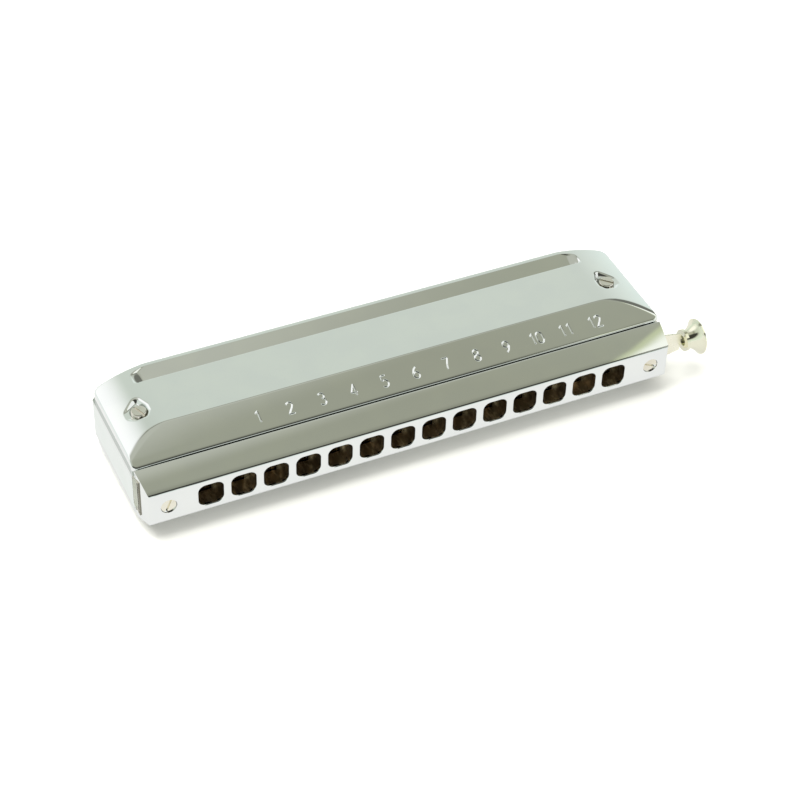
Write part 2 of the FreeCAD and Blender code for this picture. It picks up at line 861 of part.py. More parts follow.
def make_rear_plate():
    """The cage's rear plate, with one window for every chamber and a slot for the spring's leg."""
    half = cage_half_height
    plate = box(-cage_half_length, cage_half_length, rear_plate_front, body_front, -half, half)
    y0 = rear_plate_front - beyond
    y1 = body_front + beyond
    slack = spring_wire_radius / math.cos(math.radians(spring_right_angle)) + 2 * spring_hole_clearance
    left = spring_x_at(slide_mid) - slide_travel - slack
    right = spring_x_at(rear_plate_front) + slack
    spring_slot = box(left, right, y0, y1, spring_height - slack, spring_height + slack)
    tools = windows(0, y0, y1, 1) + windows(0, y0, y1, -1) + screw_eyes(y0, y1) + [spring_slot]
    return cut_all(plate, tools)


def make_slide():
    """The slide: its upper windows are open at rest, and its lower ones when it is pressed in."""
    start = cage_half_length
    outline = [
        V(slide_left_end, slide_front, -slide_half_height),
        V(slide_left_end, slide_front, slide_half_height),
        V(start, slide_front, slide_half_height),
        V(start, slide_front, tail_root_half_height),
        V(tail_end, slide_front, tail_tip_half_height),
        V(tail_end, slide_front, tang_half_height),
        V(button_start + tang_depth, slide_front, tang_half_height),
        V(button_start + tang_depth, slide_front, -tang_half_height),
        V(tail_end, slide_front, -tang_half_height),
        V(tail_end, slide_front, -tail_tip_half_height),
        V(start, slide_front, -tail_root_half_height),
        V(start, slide_front, -slide_half_height),
    ]
    slide = prism(outline, V(0, slide_thickness, 0))
    y0 = slide_front - beyond
    y1 = slide_rear + beyond
    tools = windows(0, y0, y1, 1) + windows(slide_travel, y0, y1, -1)
    left_slot = (slide_left_end - sleeve_eye, -mouthpiece_screw_x + slide_travel)
    right_slot = (mouthpiece_screw_x, mouthpiece_screw_x + slide_travel)
    for near, far in (left_slot, right_slot):
        tools.append(rod(sleeve_eye, V(near, y0, 0), V(near, y1, 0)))
        tools.append(rod(sleeve_eye, V(far, y0, 0), V(far, y1, 0)))
        tools.append(box(near, far, y0, y1, -sleeve_eye, sleeve_eye))
    tip = spring_x_at(slide_mid)
    lean = slide_thickness / 2 * math.tan(math.radians(spring_right_angle))
    hole = spring_wire_radius / math.cos(math.radians(spring_right_angle)) + lean + spring_hole_clearance
    tools.append(rod(hole, V(tip, y0, spring_height), V(tip, y1, spring_height)))
    return cut_all(slide, tools)


def make_sleeves():
    """Soft sleeves on the mouthpiece screws, which stop the slide at each end of its travel."""
    sleeves = []
    for sign in (-1, 1):
        start = V(sign * mouthpiece_screw_x, front_plate_front, 0)
        end = V(sign * mouthpiece_screw_x, body_front, 0)
        bore = rod(mouthpiece_screw_radius + screw_clearance, start, end)
        sleeves.append(rod(sleeve_radius, start, end).cut(bore))
    return sleeves


def make_button():
    """The trumpet-shaped button, turned about the slide's axis and pressed onto its tang."""
    neck_x = button_start + button_flange_length
    rim_x = button_start + button_length
    flare_run = rim_x - button_rim_width - neck_x - button_groove_width
    flare_mid = V(
        neck_x + button_groove_width + flare_run * button_flare_run_share,
        0,
        button_neck_radius + (button_rim_radius - button_neck_radius) * button_flare_rise_share,
    )
    neck = V(neck_x + button_groove_width, 0, button_neck_radius)
    flange_low = V(button_start, 0, button_flange_radius)
    flange_high = V(neck_x, 0, button_flange_radius)
    rim_low = V(rim_x - button_rim_width, 0, button_rim_radius)
    rim_high = V(rim_x, 0, button_rim_radius)
    face_centre = V(rim_x + button_dome, 0, 0)
    dome_radius = (button_rim_radius ** 2 + button_dome ** 2) / (2 * button_dome)
    half_angle = math.degrees(math.asin(button_rim_radius / dome_radius)) / 2
    dome_mid = face_centre + (turned(half_angle, V(1, 0, 0), V(0, 0, 1)) - V(1, 0, 0)) * dome_radius
    edges = [
        Part.makeLine(V(button_start, 0, 0), flange_low),
        Part.makeLine(flange_low, flange_high),
        Part.makeLine(flange_high, neck),
        Part.Arc(neck, flare_mid, rim_low).toShape(),
        Part.makeLine(rim_low, rim_high),
        Part.Arc(rim_high, dome_mid, face_centre).toShape(),
        Part.makeLine(face_centre, V(button_start, 0, 0)),
    ]
    button = Part.Face(Part.Wire(edges)).revolve(V(0, 0, 0), V(1, 0, 0), 360)
    button.translate(V(0, slide_mid, 0))
    mouth = V(button_start - beyond, slide_mid, 0)
    socket = rod(button_socket_radius, mouth, V(button_start + button_socket_depth, slide_mid, 0))
    half = slide_thickness / 2 + screw_clearance
    tall = tang_half_height + screw_clearance
    far = button_start + tang_depth + screw_clearance
    tang_slot = box(button_start - beyond, far, slide_mid - half, slide_mid + half, -tall, tall)
    return cut_all(button, [socket, tang_slot])


# ---- Return spring ----
def make_spring():
    """A bent wire spring: one leg bears on the pocket's wall, the other reaches into the slide."""
    left_end, left_start, right_start, right_end = spring_leg_ends()
    crest = V(spring_bend_x, spring_bend_y + spring_bend_radius, spring_height)
    wire = Part.Wire([
        Part.makeLine(left_end, left_start),
        Part.Arc(left_start, crest, right_start).toShape(),
        Part.makeLine(right_start, right_end),
    ])
    section = Part.Wire([Part.makeCircle(spring_wire_radius, left_end, left_start - left_end)])
    return wire.makePipeShell([section], True, True)


def make_spring_pin():
    """The pin that the spring's bend wraps round, standing in the comb's pocket."""
    radius = spring_bend_radius - spring_wire_radius - spring_clearance
    foot = V(spring_bend_x, spring_bend_y, pocket_floor)
    return rod(radius, foot, V(spring_bend_x, spring_bend_y, comb_half))


def main():
    """Build every piece and write its file."""
    os.makedirs(PARTS, exist_ok=True)
    upper_groups = {
        "cover": [make_cover()],
        "cover_screws": make_cover_screws(),
        "cover_posts": make_posts(),
        "reed_plate": [make_reed_plate()],
        "plate_screws": make_plate_screws(),
        "draw_reeds": make_draw_reeds(),
        "blow_reeds": make_blow_reeds(),
        "reed_rivets": make_rivets(),
        "outer_valves": make_outer_valves(),
        "inner_valves": make_inner_valves(),
    }
    for name, solids in upper_groups.items():
        export("upper_" + name, solids)
        export("lower_" + name, [flip(solid) for solid in solids])
    export("comb", [make_comb()])
    export("mouthpiece", [make_mouthpiece()])
    export("mouthpiece_screws", make_mouthpiece_screws())
    export("slide_front_plate", [make_front_plate()])
    export("slide_rear_plate", [make_rear_plate()])
    export("slide", [make_slide()])
    export("slide_stop_sleeves", make_sleeves())
    export("slide_button", [make_button()])
    export("slide_spring", [make_spring()])
    export("spring_pin", [make_spring_pin()])


main()
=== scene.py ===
"""Looks of a fourteen-hole chromatic harmonica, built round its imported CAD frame.

Shapes are worked out in the instrument's own axes, in millimetres: X runs along the body towards
the button, Y is the depth behind the mouthpiece's front face, and Z is the height above the row
of holes. A Workbench puts the points into the shared frame, in metres.
"""
from __future__ import annotations

import logging
import math
from dataclasses import dataclass, field
from enum import Enum

import bmesh
import bpy
import numpy as np
from mathutils import Matrix, Vector

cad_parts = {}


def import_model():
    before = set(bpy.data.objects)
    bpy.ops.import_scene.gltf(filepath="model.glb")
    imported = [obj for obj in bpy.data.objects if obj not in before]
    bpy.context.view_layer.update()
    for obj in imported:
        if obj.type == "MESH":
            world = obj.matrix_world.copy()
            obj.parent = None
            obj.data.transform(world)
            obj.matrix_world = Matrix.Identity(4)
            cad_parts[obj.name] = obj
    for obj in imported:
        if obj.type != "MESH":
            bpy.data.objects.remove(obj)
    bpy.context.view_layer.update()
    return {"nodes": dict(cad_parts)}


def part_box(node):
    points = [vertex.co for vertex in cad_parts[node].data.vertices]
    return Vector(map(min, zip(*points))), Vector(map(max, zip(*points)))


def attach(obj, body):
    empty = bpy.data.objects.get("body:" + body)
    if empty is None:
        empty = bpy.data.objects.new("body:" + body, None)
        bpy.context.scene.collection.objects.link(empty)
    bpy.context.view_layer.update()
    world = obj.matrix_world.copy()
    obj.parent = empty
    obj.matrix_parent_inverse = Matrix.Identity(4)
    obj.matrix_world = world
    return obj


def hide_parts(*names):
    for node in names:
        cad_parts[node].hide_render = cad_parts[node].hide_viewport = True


log = logging.getLogger("harmonica")

Colour = tuple[float, float, float]
Row = tuple[float, ...]
MM = 0.001
SHARP_ANGLE = math.radians(40)
HOLE_ROW = 12.4
SEAM_HALF = 0.12
CREVICE_REACH = 76.5
COVERED_ROUGHNESS = 0.3
STREAKS = (700.0, 300.0, 60.0)
ALONG_GRAIN = 18.0
MARKS_IN_WEAR = 0.3


# ---- Shader graphs ----
class Value:
    """A socket that Python's operators work on; each operator adds one Math node."""

    def __init__(self, graph: Graph, socket: bpy.types.NodeSocket) -> None:
        """Wraps a socket.

        Args:
            graph: The graph that the socket's node is in.
            socket: The output socket.
        """
        self.graph = graph
        self.socket = socket

    def maths(self, operation: str, *operands: Value | float) -> Value:
        """Adds one Math node.

        Args:
            operation: The Math node's operation.
            operands: Its inputs, in order.

        Returns:
            The node's result.
        """
        inputs = dict(enumerate(operands))
        return self.graph.node("ShaderNodeMath", {"operation": operation}, inputs)

    def __add__(self, other: Value | float) -> Value:
        """The sum."""
        return self.maths("ADD", self, other)

    def __mul__(self, other: Value | float) -> Value:
        """The product."""
        return self.maths("MULTIPLY", self, other)

    def __sub__(self, other: Value | float) -> Value:
        """The difference."""
        return self.maths("SUBTRACT", self, other)

    def __rsub__(self, other: Value | float) -> Value:
        """The difference, taken the other way round."""
        return self.maths("SUBTRACT", other, self)

    def __pow__(self, other: Value | float) -> Value:
        """The power."""
        return self.maths("POWER", self, other)

    def __abs__(self) -> Value:
        """The size without its sign."""
        return self.maths("ABSOLUTE", self)

    def eased(self, low: float, high: float) -> Value:
        """A smooth step.

        Args:
            low: Where the step starts, at 0.
            high: Where it ends, at 1.

        Returns:
            The step's value, from 0 to 1.
        """
        ends = {"Value": self, "From Min": low, "From Max": high}
        return self.graph.node("ShaderNodeMapRange", {"interpolation_type": "SMOOTHSTEP"}, ends)


class Graph:
    """The node tree of one material or of the world."""

    def __init__(self, tree: bpy.types.NodeTree) -> None:
        """Empties a node tree, so that it can be filled.

        Args:
            tree: The tree.
        """
        self.tree = tree
        tree.nodes.clear()

    def node(
        self,
        kind: str,
        settings: dict[str, object] | None = None,
        inputs: dict[str | int, object] | None = None,
        output: str | int = 0,
    ) -> Value | None:
        """Adds one node, sets it and links it.

        Args:
            kind: The node's type.
            settings: Its properties by name; "stops" gives a colour ramp's places and colours.
            inputs: Values or constants for its input sockets, by name or number.
            output: Which output to return.

        Returns:
            That output, or None where the node has no output.
        """
        made = self.tree.nodes.new(kind)
        for name, setting in (settings or {}).items():
            if name == "stops":
                self._set_stops(made.color_ramp, setting)
            else:
                setattr(made, name, setting)
        for key, given in (inputs or {}).items():
            if isinstance(given, Value):
                self.tree.links.new(given.socket, made.inputs[key])
            else:
                made.inputs[key].default_value = given
        return Value(self, made.outputs[output]) if len(made.outputs) else None

    @staticmethod
    def _set_stops(ramp: bpy.types.ColorRamp, stops: list[tuple[float, Colour]]) -> None:
        """Gives a colour ramp its stops.

        Args:
            ramp: The ramp, which has two stops of its own.
            stops: Each stop's place and colour, in order.
        """
        for place, _ in stops[2:]:
            ramp.elements.new(place)
        for element, (place, colour) in zip(ramp.elements, stops):
            element.position = place
            element.color = (*colour, 1)

    def blend(self, factor: Value | float, first: Value | Colour, second: Value | Colour) -> Value:
        """Mixes two colours.

        Args:
            factor: 0 for the first, 1 for the second.
            first: A colour.
            second: Another.

        Returns:
            The mixed colour.
        """
        ends = [shade if isinstance(shade, Value) else (*shade, 1) for shade in (first, second)]
        sockets = {0: factor, 6: ends[0], 7: ends[1]}
        return self.node("ShaderNodeMix", {"data_type": "RGBA"}, sockets, 2)

    def noise(self, place: Value, stretch: Row, detail: float = 2.0) -> Value:
        """Smooth noise over a place.

        Args:
            place: The place, in metres.
            stretch: How many of the noise's features lie in a metre, along each axis.
            detail: Number of finer layers.

        Returns:
            A value round 0.5.
        """
        scaled = self.node("ShaderNodeMapping", None, {"Vector": place, "Scale": stretch})
        inputs = {"Vector": scaled, "Scale": 1.0, "Detail": detail}
        return self.node("ShaderNodeTexNoise", None, inputs)

    def split(self, vector: Value) -> tuple[Value, Value, Value]:
        """The three components of a vector.

        Args:
            vector: The vector.

        Returns:
            Its X, Y and Z.
        """
        made = self.node("ShaderNodeSeparateXYZ", None, {"Vector": vector})
        return tuple(Value(self, socket) for socket in made.socket.node.outputs)


# ---- Finishes ----
class Grain(Enum):
    """Which way a metal's fine tool marks run."""

    NONE = "none"
    ALONG_X = "along x"
    ALONG_Y = "along y"
    ABOUT_X = "rings about x"
    ABOUT_Y = "rings about y"
    ABOUT_Z = "rings about z"


@dataclass(frozen=True)
class Finish:
    """One finish: its colour with cloudy variation and painted shade, its gloss and its tool marks.

    Lengths are in millimetres, in the shared frame. Attributes that their names don't explain:
        inside: Two colours of painted shade and reflection for what lies nearer the middle than
        inside_reach and in front of inside_back; with inside_front also behind that, and as high as
        the row of holes.
        crevice: The depth in front of which shade is painted on the sheet, except at the ends.
        hollow: Place across and back, radius and height of the painted shade in the hollow at each
            end.
        seams: The axis and the place of each thin line of painted shade between stacked plates.
    """

    name: str
    colour: Colour
    cloud: Colour
    cloud_size: float = 9.0
    metallic: float = 1.0
    polish: tuple[float, float] = (0.05, 0.12)
    smudge_size: float = 14.0
    grain: Grain = Grain.NONE
    grain_depth: float = 0.0
    grain_width: float = 0.12
    centre: tuple[float, float, float] = (0.0, 0.0, 0.0)
    ripple: float = 0.0
    ripple_size: float = 12.0
    inside: tuple[Colour, Colour] | None = None
    inside_reach: float = 0.0
    inside_front: float | None = None
    inside_half_height: float = 4.0
    inside_back: float = 99.0
    crevice: float | None = None
    crevice_tone: Colour = (0.42, 0.43, 0.40)
    hollow: tuple[float, float, float, float] | None = None
    hollow_tone: Colour = (0.34, 0.35, 0.32)
    seams: tuple[tuple[int, float], ...] = ()
    seam_tone: Colour = (0.60, 0.62, 0.60)

    def material(self) -> bpy.types.Material:
        """Builds the finish as a material that reads Object coordinates.

        Clouds of noise shift the colour and shade is painted into it in places; smudges and fine
        streaks raise the roughness, and tool marks and a slow ripple tilt the surface by a bump.

        Returns:
            The material.
        """
        made = bpy.data.materials.new(self.name)
        made.use_nodes = True
        graph = Graph(made.node_tree)
        place = graph.node("ShaderNodeTexCoord", output="Object")
        clouds = graph.noise(place, (1000 / self.cloud_size,) * 3, 3).eased(0.38, 0.66)
        smudges = graph.noise(place, (1000 / self.smudge_size,) * 3, 4).eased(0.42, 0.72)
        low, high = self.polish
        colour = graph.blend(clouds, self.colour, self.cloud)
        sockets: dict[str | int, object] = {
            # Base colour with painted shade inside the instrument, in crevices, hollows and at
            # seams
            "Base Color": self._darkened(graph, place, colour),
            "Metallic": self.metallic,
        }
        marks = self._marks(graph, place)
        wear = smudges if marks is None else smudges * (1 - MARKS_IN_WEAR) + marks * MARKS_IN_WEAR
        sockets["Roughness"] = wear * (high - low) + low
        if self.inside_front is not None:
            sockets["Roughness"] += self._covered(graph, place) * COVERED_ROUGHNESS
        normal = self._normal(graph, place, marks)
        if normal is not None:
            sockets["Normal"] = normal
        shader = graph.node("ShaderNodeBsdfPrincipled", None, sockets)
        graph.node("ShaderNodeOutputMaterial", None, {"Surface": shader})
        return made

    def _covered(self, graph: Graph, place: Value) -> Value:
        """How far a place lies inside the instrument.

        Args:
            graph: The material's graph.
            place: The place on the object.

        Returns:
            1 inside, 0 outside.
        """
        x, y, z = graph.split(place)
        covered = (self.inside_reach * MM - abs(x)).eased(0.0, 0.0008)
        covered = covered * (self.inside_back * MM - y).eased(0.0, 0.0003)
        if self.inside_front is not None:
            level = (self.inside_half_height * MM - abs(z - HOLE_ROW * MM)).eased(0.0, 0.0002)
            covered = covered * level * (y - self.inside_front * MM).eased(0.0, 0.0006)
        return covered

    def _darkened(self, graph: Graph, place: Value, colour: Value) -> Value:
        """Paints shade into the colour inside the instrument, in crevices, hollows and at seams.

        The painted shade inside has upright streaks of its two colours. A hollow is round: it is
        where the square of its reach is more than the squares of the distances across and back
        together, below its top.

        Args:
            graph: The material's graph.
            place: The place on the object.
            colour: The outside's colour.

        Returns:
            The colour everywhere, with its painted shade.
        """
        x, y, z = axes = graph.split(place)
        # Painted shade and reflection inside the instrument, in upright streaks of two colours.
        if self.inside:
            streaks = graph.noise(place, STREAKS, 2).eased(0.45, 0.72)
            inside_shade = graph.blend(streaks, *self.inside)
            colour = graph.blend(self._covered(graph, place), colour, inside_shade)
        # Painted shade in the crevice at the cover's foot.
        if self.crevice is not None:
            near = (self.crevice * MM - y).eased(0.0, 0.0001)
            near = near * (CREVICE_REACH * MM - abs(x)).eased(0.0, 0.001)
            colour = graph.blend(near, colour, self.crevice_tone)
        # Painted shade in the round hollows of the cover screw dimples.
        if self.hollow is not None:
            across, back, reach, top = self.hollow
            away = (abs(x) - across * MM) ** 2 + (y - back * MM) ** 2
            near = ((reach * MM) ** 2 - away).eased(0.0, 1.5e-6)
            near = near * (top * MM - abs(z - HOLE_ROW * MM)).eased(0.0002, 0.0005)
            colour = graph.blend(near, colour, self.hollow_tone)
        # Painted shade as thin lines at the seams between stacked plates.
        for axis, seam in self.seams:
            line = (SEAM_HALF * MM - abs(axes[axis] - seam * MM)).eased(0.0, SEAM_HALF * MM)
            colour = graph.blend(line, colour, self.seam_tone)
        return colour

    def _marks(self, graph: Graph, place: Value) -> Value | None:
        """The tool marks' pattern.

        Straight marks are noise drawn out along one axis. Turned marks are noise of the distance
        from an axis, which is the same at either end of the body because X is taken without its
        sign.

        Args:
            graph: The material's graph.
            place: The place on the object.

        Returns:
            The pattern, from 0 to 1, or None where the finish has no marks.
        """
        fine = 1000 / self.grain_width
        if self.grain is Grain.NONE:
            return None
        if self.grain in (Grain.ALONG_X, Grain.ALONG_Y):
            drawn = 0 if self.grain is Grain.ALONG_X else 1
            stretch = tuple(ALONG_GRAIN if axis == drawn else fine for axis in range(3))
            return graph.noise(place, stretch, 2).eased(0.35, 0.65)
        x, y, z = graph.split(place)
        offsets = [abs(x) - self.centre[0] * MM, y - self.centre[1] * MM, z - self.centre[2] * MM]
        skipped = {Grain.ABOUT_X: 0, Grain.ABOUT_Y: 1, Grain.ABOUT_Z: 2}[self.grain]
        across = [offset * offset for axis, offset in enumerate(offsets) if axis != skipped]
        radius = (across[0] + across[1]) ** 0.5
        turned = graph.node("ShaderNodeCombineXYZ", None, {"X": radius * fine})
        inputs = {"Vector": turned, "Scale": 1.0, "Detail": 1.0}
        return graph.node("ShaderNodeTexNoise", None, inputs).eased(0.35, 0.65)

    def _normal(self, graph: Graph, place: Value, marks: Value | None) -> Value | None:
        """The bumps from the ripple and the tool marks, one after the other.

        Args:
            graph: The material's graph.
            place: The place on the object.
            marks: The tool marks' pattern, if any.

        Returns:
            The bumped normal, or None where the surface is smooth.
        """
        normal = None
        if self.ripple:
            wave = graph.noise(place, (1000 / self.ripple_size,) * 3, 0)
            sockets = {"Height": wave, "Distance": self.ripple * MM, "Strength": 1.0}
            normal = graph.node("ShaderNodeBump", None, sockets)
        if marks is not None and self.grain_depth:
            sockets = {"Height": marks, "Distance": self.grain_depth * MM, "Strength": 1.0}
            if normal is not None:
                sockets["Normal"] = normal
            normal = graph.node("ShaderNodeBump", None, sockets)
        return normal


BRASS = ((0.78, 0.62, 0.34), (0.70, 0.54, 0.28))
# Dark browns painted as shade inside the comb.
INSIDE_SHADE_TONES = ((0.035, 0.027, 0.02), (0.19, 0.15, 0.105))
# Inside the holes the mirror chrome gets painted shade and reflection in browns and beiges.
CHROME = Finish(
    "mirror_chrome", (0.86, 0.88, 0.87), (0.88, 0.90, 0.88), polish=(0.015, 0.05), smudge_size=22.0,
    inside=((0.50, 0.43, 0.32), (0.95, 0.86, 0.70)), inside_reach=74.0, inside_front=-27.8,
)
# The crevice at the cover's foot and the screw dimples get painted shade.
PRESSED_CHROME = Finish(
    "pressed_chrome", (0.86, 0.88, 0.87), (0.88, 0.90, 0.88), polish=(0.015, 0.06),
    smudge_size=22.0, ripple=0.004, ripple_size=16.0, crevice=-19.48,
    hollow=(72.2, -1.4, 2.9, 12.1),
)
STAMPED = Finish(
    "stamped_numerals", (0.93, 0.94, 0.93), (0.90, 0.91, 0.90), polish=(0.10, 0.22),
    smudge_size=2.0,
)
COVER_SCREW = Finish(
    "cover_screw_nickel", (0.78, 0.75, 0.68), (0.70, 0.66, 0.58), polish=(0.08, 0.2),
    smudge_size=1.5, grain=Grain.ABOUT_Z, grain_depth=0.004, centre=(72.45, -1.85, 0.0),
)
FRONT_SCREW = Finish(
    "front_screw_nickel", (0.88, 0.85, 0.73), (0.80, 0.76, 0.64), polish=(0.12, 0.26),
    smudge_size=1.5, grain=Grain.ABOUT_Y, grain_depth=0.004, centre=(73.8, 0.0, HOLE_ROW),
)
PLATE_SCREW = Finish("plate_screw_brass", *BRASS, polish=(0.12, 0.3), smudge_size=2.0)
BUTTON = Finish(
    "button_nickel", (0.87, 0.86, 0.70), (0.83, 0.81, 0.64), polish=(0.05, 0.13), smudge_size=3.0,
    grain=Grain.ABOUT_X, grain_depth=0.002, centre=(0.0, -22.05, HOLE_ROW),
)
# Its part inside the cage gets dark brown painted shade.
SLIDE = Finish(
    "slide_nickel", (0.95, 0.93, 0.78), (0.91, 0.88, 0.72), polish=(0.2, 0.36), smudge_size=5.0,
    grain=Grain.ALONG_X, grain_depth=0.002, inside=((0.05, 0.035, 0.02), (0.26, 0.18, 0.10)),
    inside_reach=78.0,
)
# Inside the instrument it gets painted shade, and a dark painted shade line at its seam.
CAGE = Finish(
    "cage_steel", (0.66, 0.64, 0.54), (0.50, 0.48, 0.39), polish=(0.18, 0.34), smudge_size=5.0,
    grain=Grain.ALONG_X, grain_depth=0.002, inside=((0.30, 0.26, 0.19), (0.70, 0.64, 0.50)),
    inside_reach=76.0, seams=((1, -22.7),), seam_tone=(0.06, 0.055, 0.04),
)
# Inside it gets dark painted shade, and light painted shade lines at its seams.
COMB = Finish(
    "comb_plated", (0.84, 0.89, 0.86), (0.81, 0.87, 0.83), polish=(0.03, 0.10), smudge_size=12.0,
    inside=INSIDE_SHADE_TONES, inside_reach=79.5, inside_back=13.2, seams=((2, 17.9), (2, 6.9)),
)
# Inside the instrument they get brass-toned painted shade, and painted shade lines at seams.
PLATE = Finish(
    "plated_brass", (0.84, 0.86, 0.84), (0.80, 0.82, 0.79), polish=(0.06, 0.18), smudge_size=7.0,
    inside=BRASS, inside_reach=79.5, inside_back=13.2,
    seams=((2, 17.9), (2, 18.9), (2, 6.9), (2, 5.9)),
)
REED = Finish(
    "reed_brass", (0.86, 0.72, 0.44), (0.78, 0.62, 0.35), polish=(0.14, 0.3), smudge_size=3.0,
    grain=Grain.ALONG_X, grain_depth=0.004, grain_width=0.08,
)
RIVET = Finish(
    "rivet_brass", (0.82, 0.68, 0.40), (0.72, 0.56, 0.30), polish=(0.15, 0.3), smudge_size=1.0
)
POST = Finish(
    "post_brass", (0.80, 0.64, 0.35), (0.70, 0.54, 0.28), polish=(0.14, 0.3), smudge_size=2.0
)
FILM = Finish(
    "valve_film", (0.86, 0.85, 0.80), (0.78, 0.77, 0.70), metallic=0.0, polish=(0.3, 0.5),
    smudge_size=3.0, ripple=0.01, ripple_size=3.0,
)
RUBBER = Finish(
    "sleeve_rubber", (0.045, 0.043, 0.042), (0.07, 0.068, 0.065), metallic=0.0,
    polish=(0.55, 0.75), smudge_size=1.0, ripple=0.01, ripple_size=0.6,
)
SPRING = Finish(
    "spring_steel", (0.58, 0.57, 0.55), (0.46, 0.44, 0.41), polish=(0.15, 0.3), smudge_size=2.0
)
PIN = Finish(
    "pin_steel", (0.66, 0.65, 0.63), (0.56, 0.54, 0.51), polish=(0.15, 0.3), smudge_size=2.0
)


# ---- Shapes as whole arrays ----
def graded(stops: list[tuple[float, float]]) -> np.ndarray:
    """Places along a line whose spacing changes from stretch to stretch.

    Args:
        stops: Where each stretch starts, in order, and the widest spacing in it; the last one only
            ends the line.

    Returns:
        The places, with both ends.
    """
    starts = [place for place, _ in stops]
    runs = [
        np.linspace(low, high, max(1, math.ceil((high - low) / step - 1e-9)), endpoint=False)
        for (low, step), high in zip(stops, starts[1:])
    ]
    return np.concatenate([*runs, [starts[-1]]])


def quarter_turn(radius: float, steps: int) -> np.ndarray:
    """Distances from an edge that divide its rolled quarter circle evenly: r (1 - cos angle).

    Args:
        radius: The roll's radius.
        steps: Number of steps on the quarter circle.

    Returns:
        The distances, from 0 up to and with the radius.
    """
    return radius * (1 - np.cos(np.linspace(0, math.pi / 2, steps + 1)))


def soft_min(
    first: np.ndarray, second: np.ndarray | float, width: np.ndarray | float
) -> np.ndarray:
    """The lesser of two heights, with a parabola where they differ by less than a width.

    Args:
        first: A height.
        second: Another.
        width: The difference below which the parabola joins them.

    Returns:
        Second plus share times their difference, less width times share times (1 - share).
    """
    share = np.clip(0.5 + 0.5 * (second - first) / width, 0, 1)
    return second + (first - second) * share - width * share * (1 - share)


def soft_step(places: np.ndarray, low: float, high: float) -> np.ndarray:
    """A cubic step: share squared times (3 - 2 share).

    Args:
        places: Where to take it.
        low: Where the step starts, at 0.
        high: Where it ends, at 1.

    Returns:
        The step's values.
    """
    share = np.clip((places - low) / (high - low), 0, 1)
    return share * share * (3 - 2 * share)


def rounded_outline(corners: np.ndarray, radii: np.ndarray, steps: int = 12) -> np.ndarray:
    """A closed outline with round corners.

    Each corner gives way to an arc about the point on its bisector that lies one radius from both
    sides; the arc's points swing from one tangent point to the other in equal angles.

    Args:
        corners: The sharp outline's corners, anticlockwise, one row each.
        radii: One radius for each corner.
        steps: Steps along each arc.

    Returns:
        The outline's points, anticlockwise.
    """
    back = np.roll(corners, 1, axis=0) - corners
    ahead = np.roll(corners, -1, axis=0) - corners
    back /= np.linalg.norm(back, axis=1, keepdims=True)
    ahead /= np.linalg.norm(ahead, axis=1, keepdims=True)
    half = np.arccos(np.clip((back * ahead).sum(1), -1, 1))[:, None] / 2
    radius = radii[:, None]
    bisector = (back + ahead) / np.linalg.norm(back + ahead, axis=1, keepdims=True)
    centres = corners + bisector * radius / np.sin(half)
    start = corners + back * radius / np.tan(half) - centres
    end = corners + ahead * radius / np.tan(half) - centres
    swing = (math.pi - 2 * half)[:, :, None]
    share = np.linspace(0, 1, steps + 1)[None, :, None]
    arcs = np.sin((1 - share) * swing) * start[:, None] + np.sin(share * swing) * end[:, None]
    return (centres[:, None] + arcs / np.sin(swing)).reshape(-1, 2)


def depth_inside(x: np.ndarray, y: np.ndarray, outline: np.ndarray) -> np.ndarray:
    """Distance inside a convex outline: the least of the distances to its sides' lines.

    Args:
        x: The points' X.
        y: Their Y, of the same shape.
        outline: The outline's points, anticlockwise.

    Returns:
        The distances, negative outside.
    """
    sides = np.roll(outline, -1, axis=0) - outline
    lengths = np.hypot(sides[:, 0], sides[:, 1])
    kept = lengths > 1e-6
    sides, starts = sides[kept] / lengths[kept, None], outline[kept]
    across_x = x[..., None] - starts[:, 0]
    across_y = y[..., None] - starts[:, 1]
    return (sides[:, 0] * across_y - sides[:, 1] * across_x).min(-1)


def grid_faces(rows: int, columns: int, closed: bool = False) -> np.ndarray:
    """The quads of a grid of points stored row by row.

    Args:
        rows: Number of rows of points.
        columns: Number of points in a row.
        closed: Whether each row joins its own start.

    Returns:
        Four point numbers for each quad, anticlockwise with columns to the right and rows upwards.
    """
    low = np.arange(rows - 1)[:, None] * columns
    here = np.arange(columns if closed else columns - 1)[None, :]
    ahead = (here + 1) % columns
    corners = [low + here, low + ahead, low + columns + ahead, low + columns + here]
    return np.stack(corners, -1).reshape(-1, 4)


def open_edges(faces: np.ndarray) -> np.ndarray:
    """The edges that only one face uses, in that face's direction.

    Args:
        faces: Quads.

    Returns:
        Two point numbers for each edge.
    """
    edges = np.stack([faces, np.roll(faces, -1, axis=1)], -1).reshape(-1, 2)
    edges = edges[edges[:, 0] != edges[:, 1]]
    count = faces.max() + 1
    forward = edges[:, 0].astype(np.int64) * count + edges[:, 1]
    backward = edges[:, 1].astype(np.int64) * count + edges[:, 0]
    return edges[~np.isin(forward, backward)]


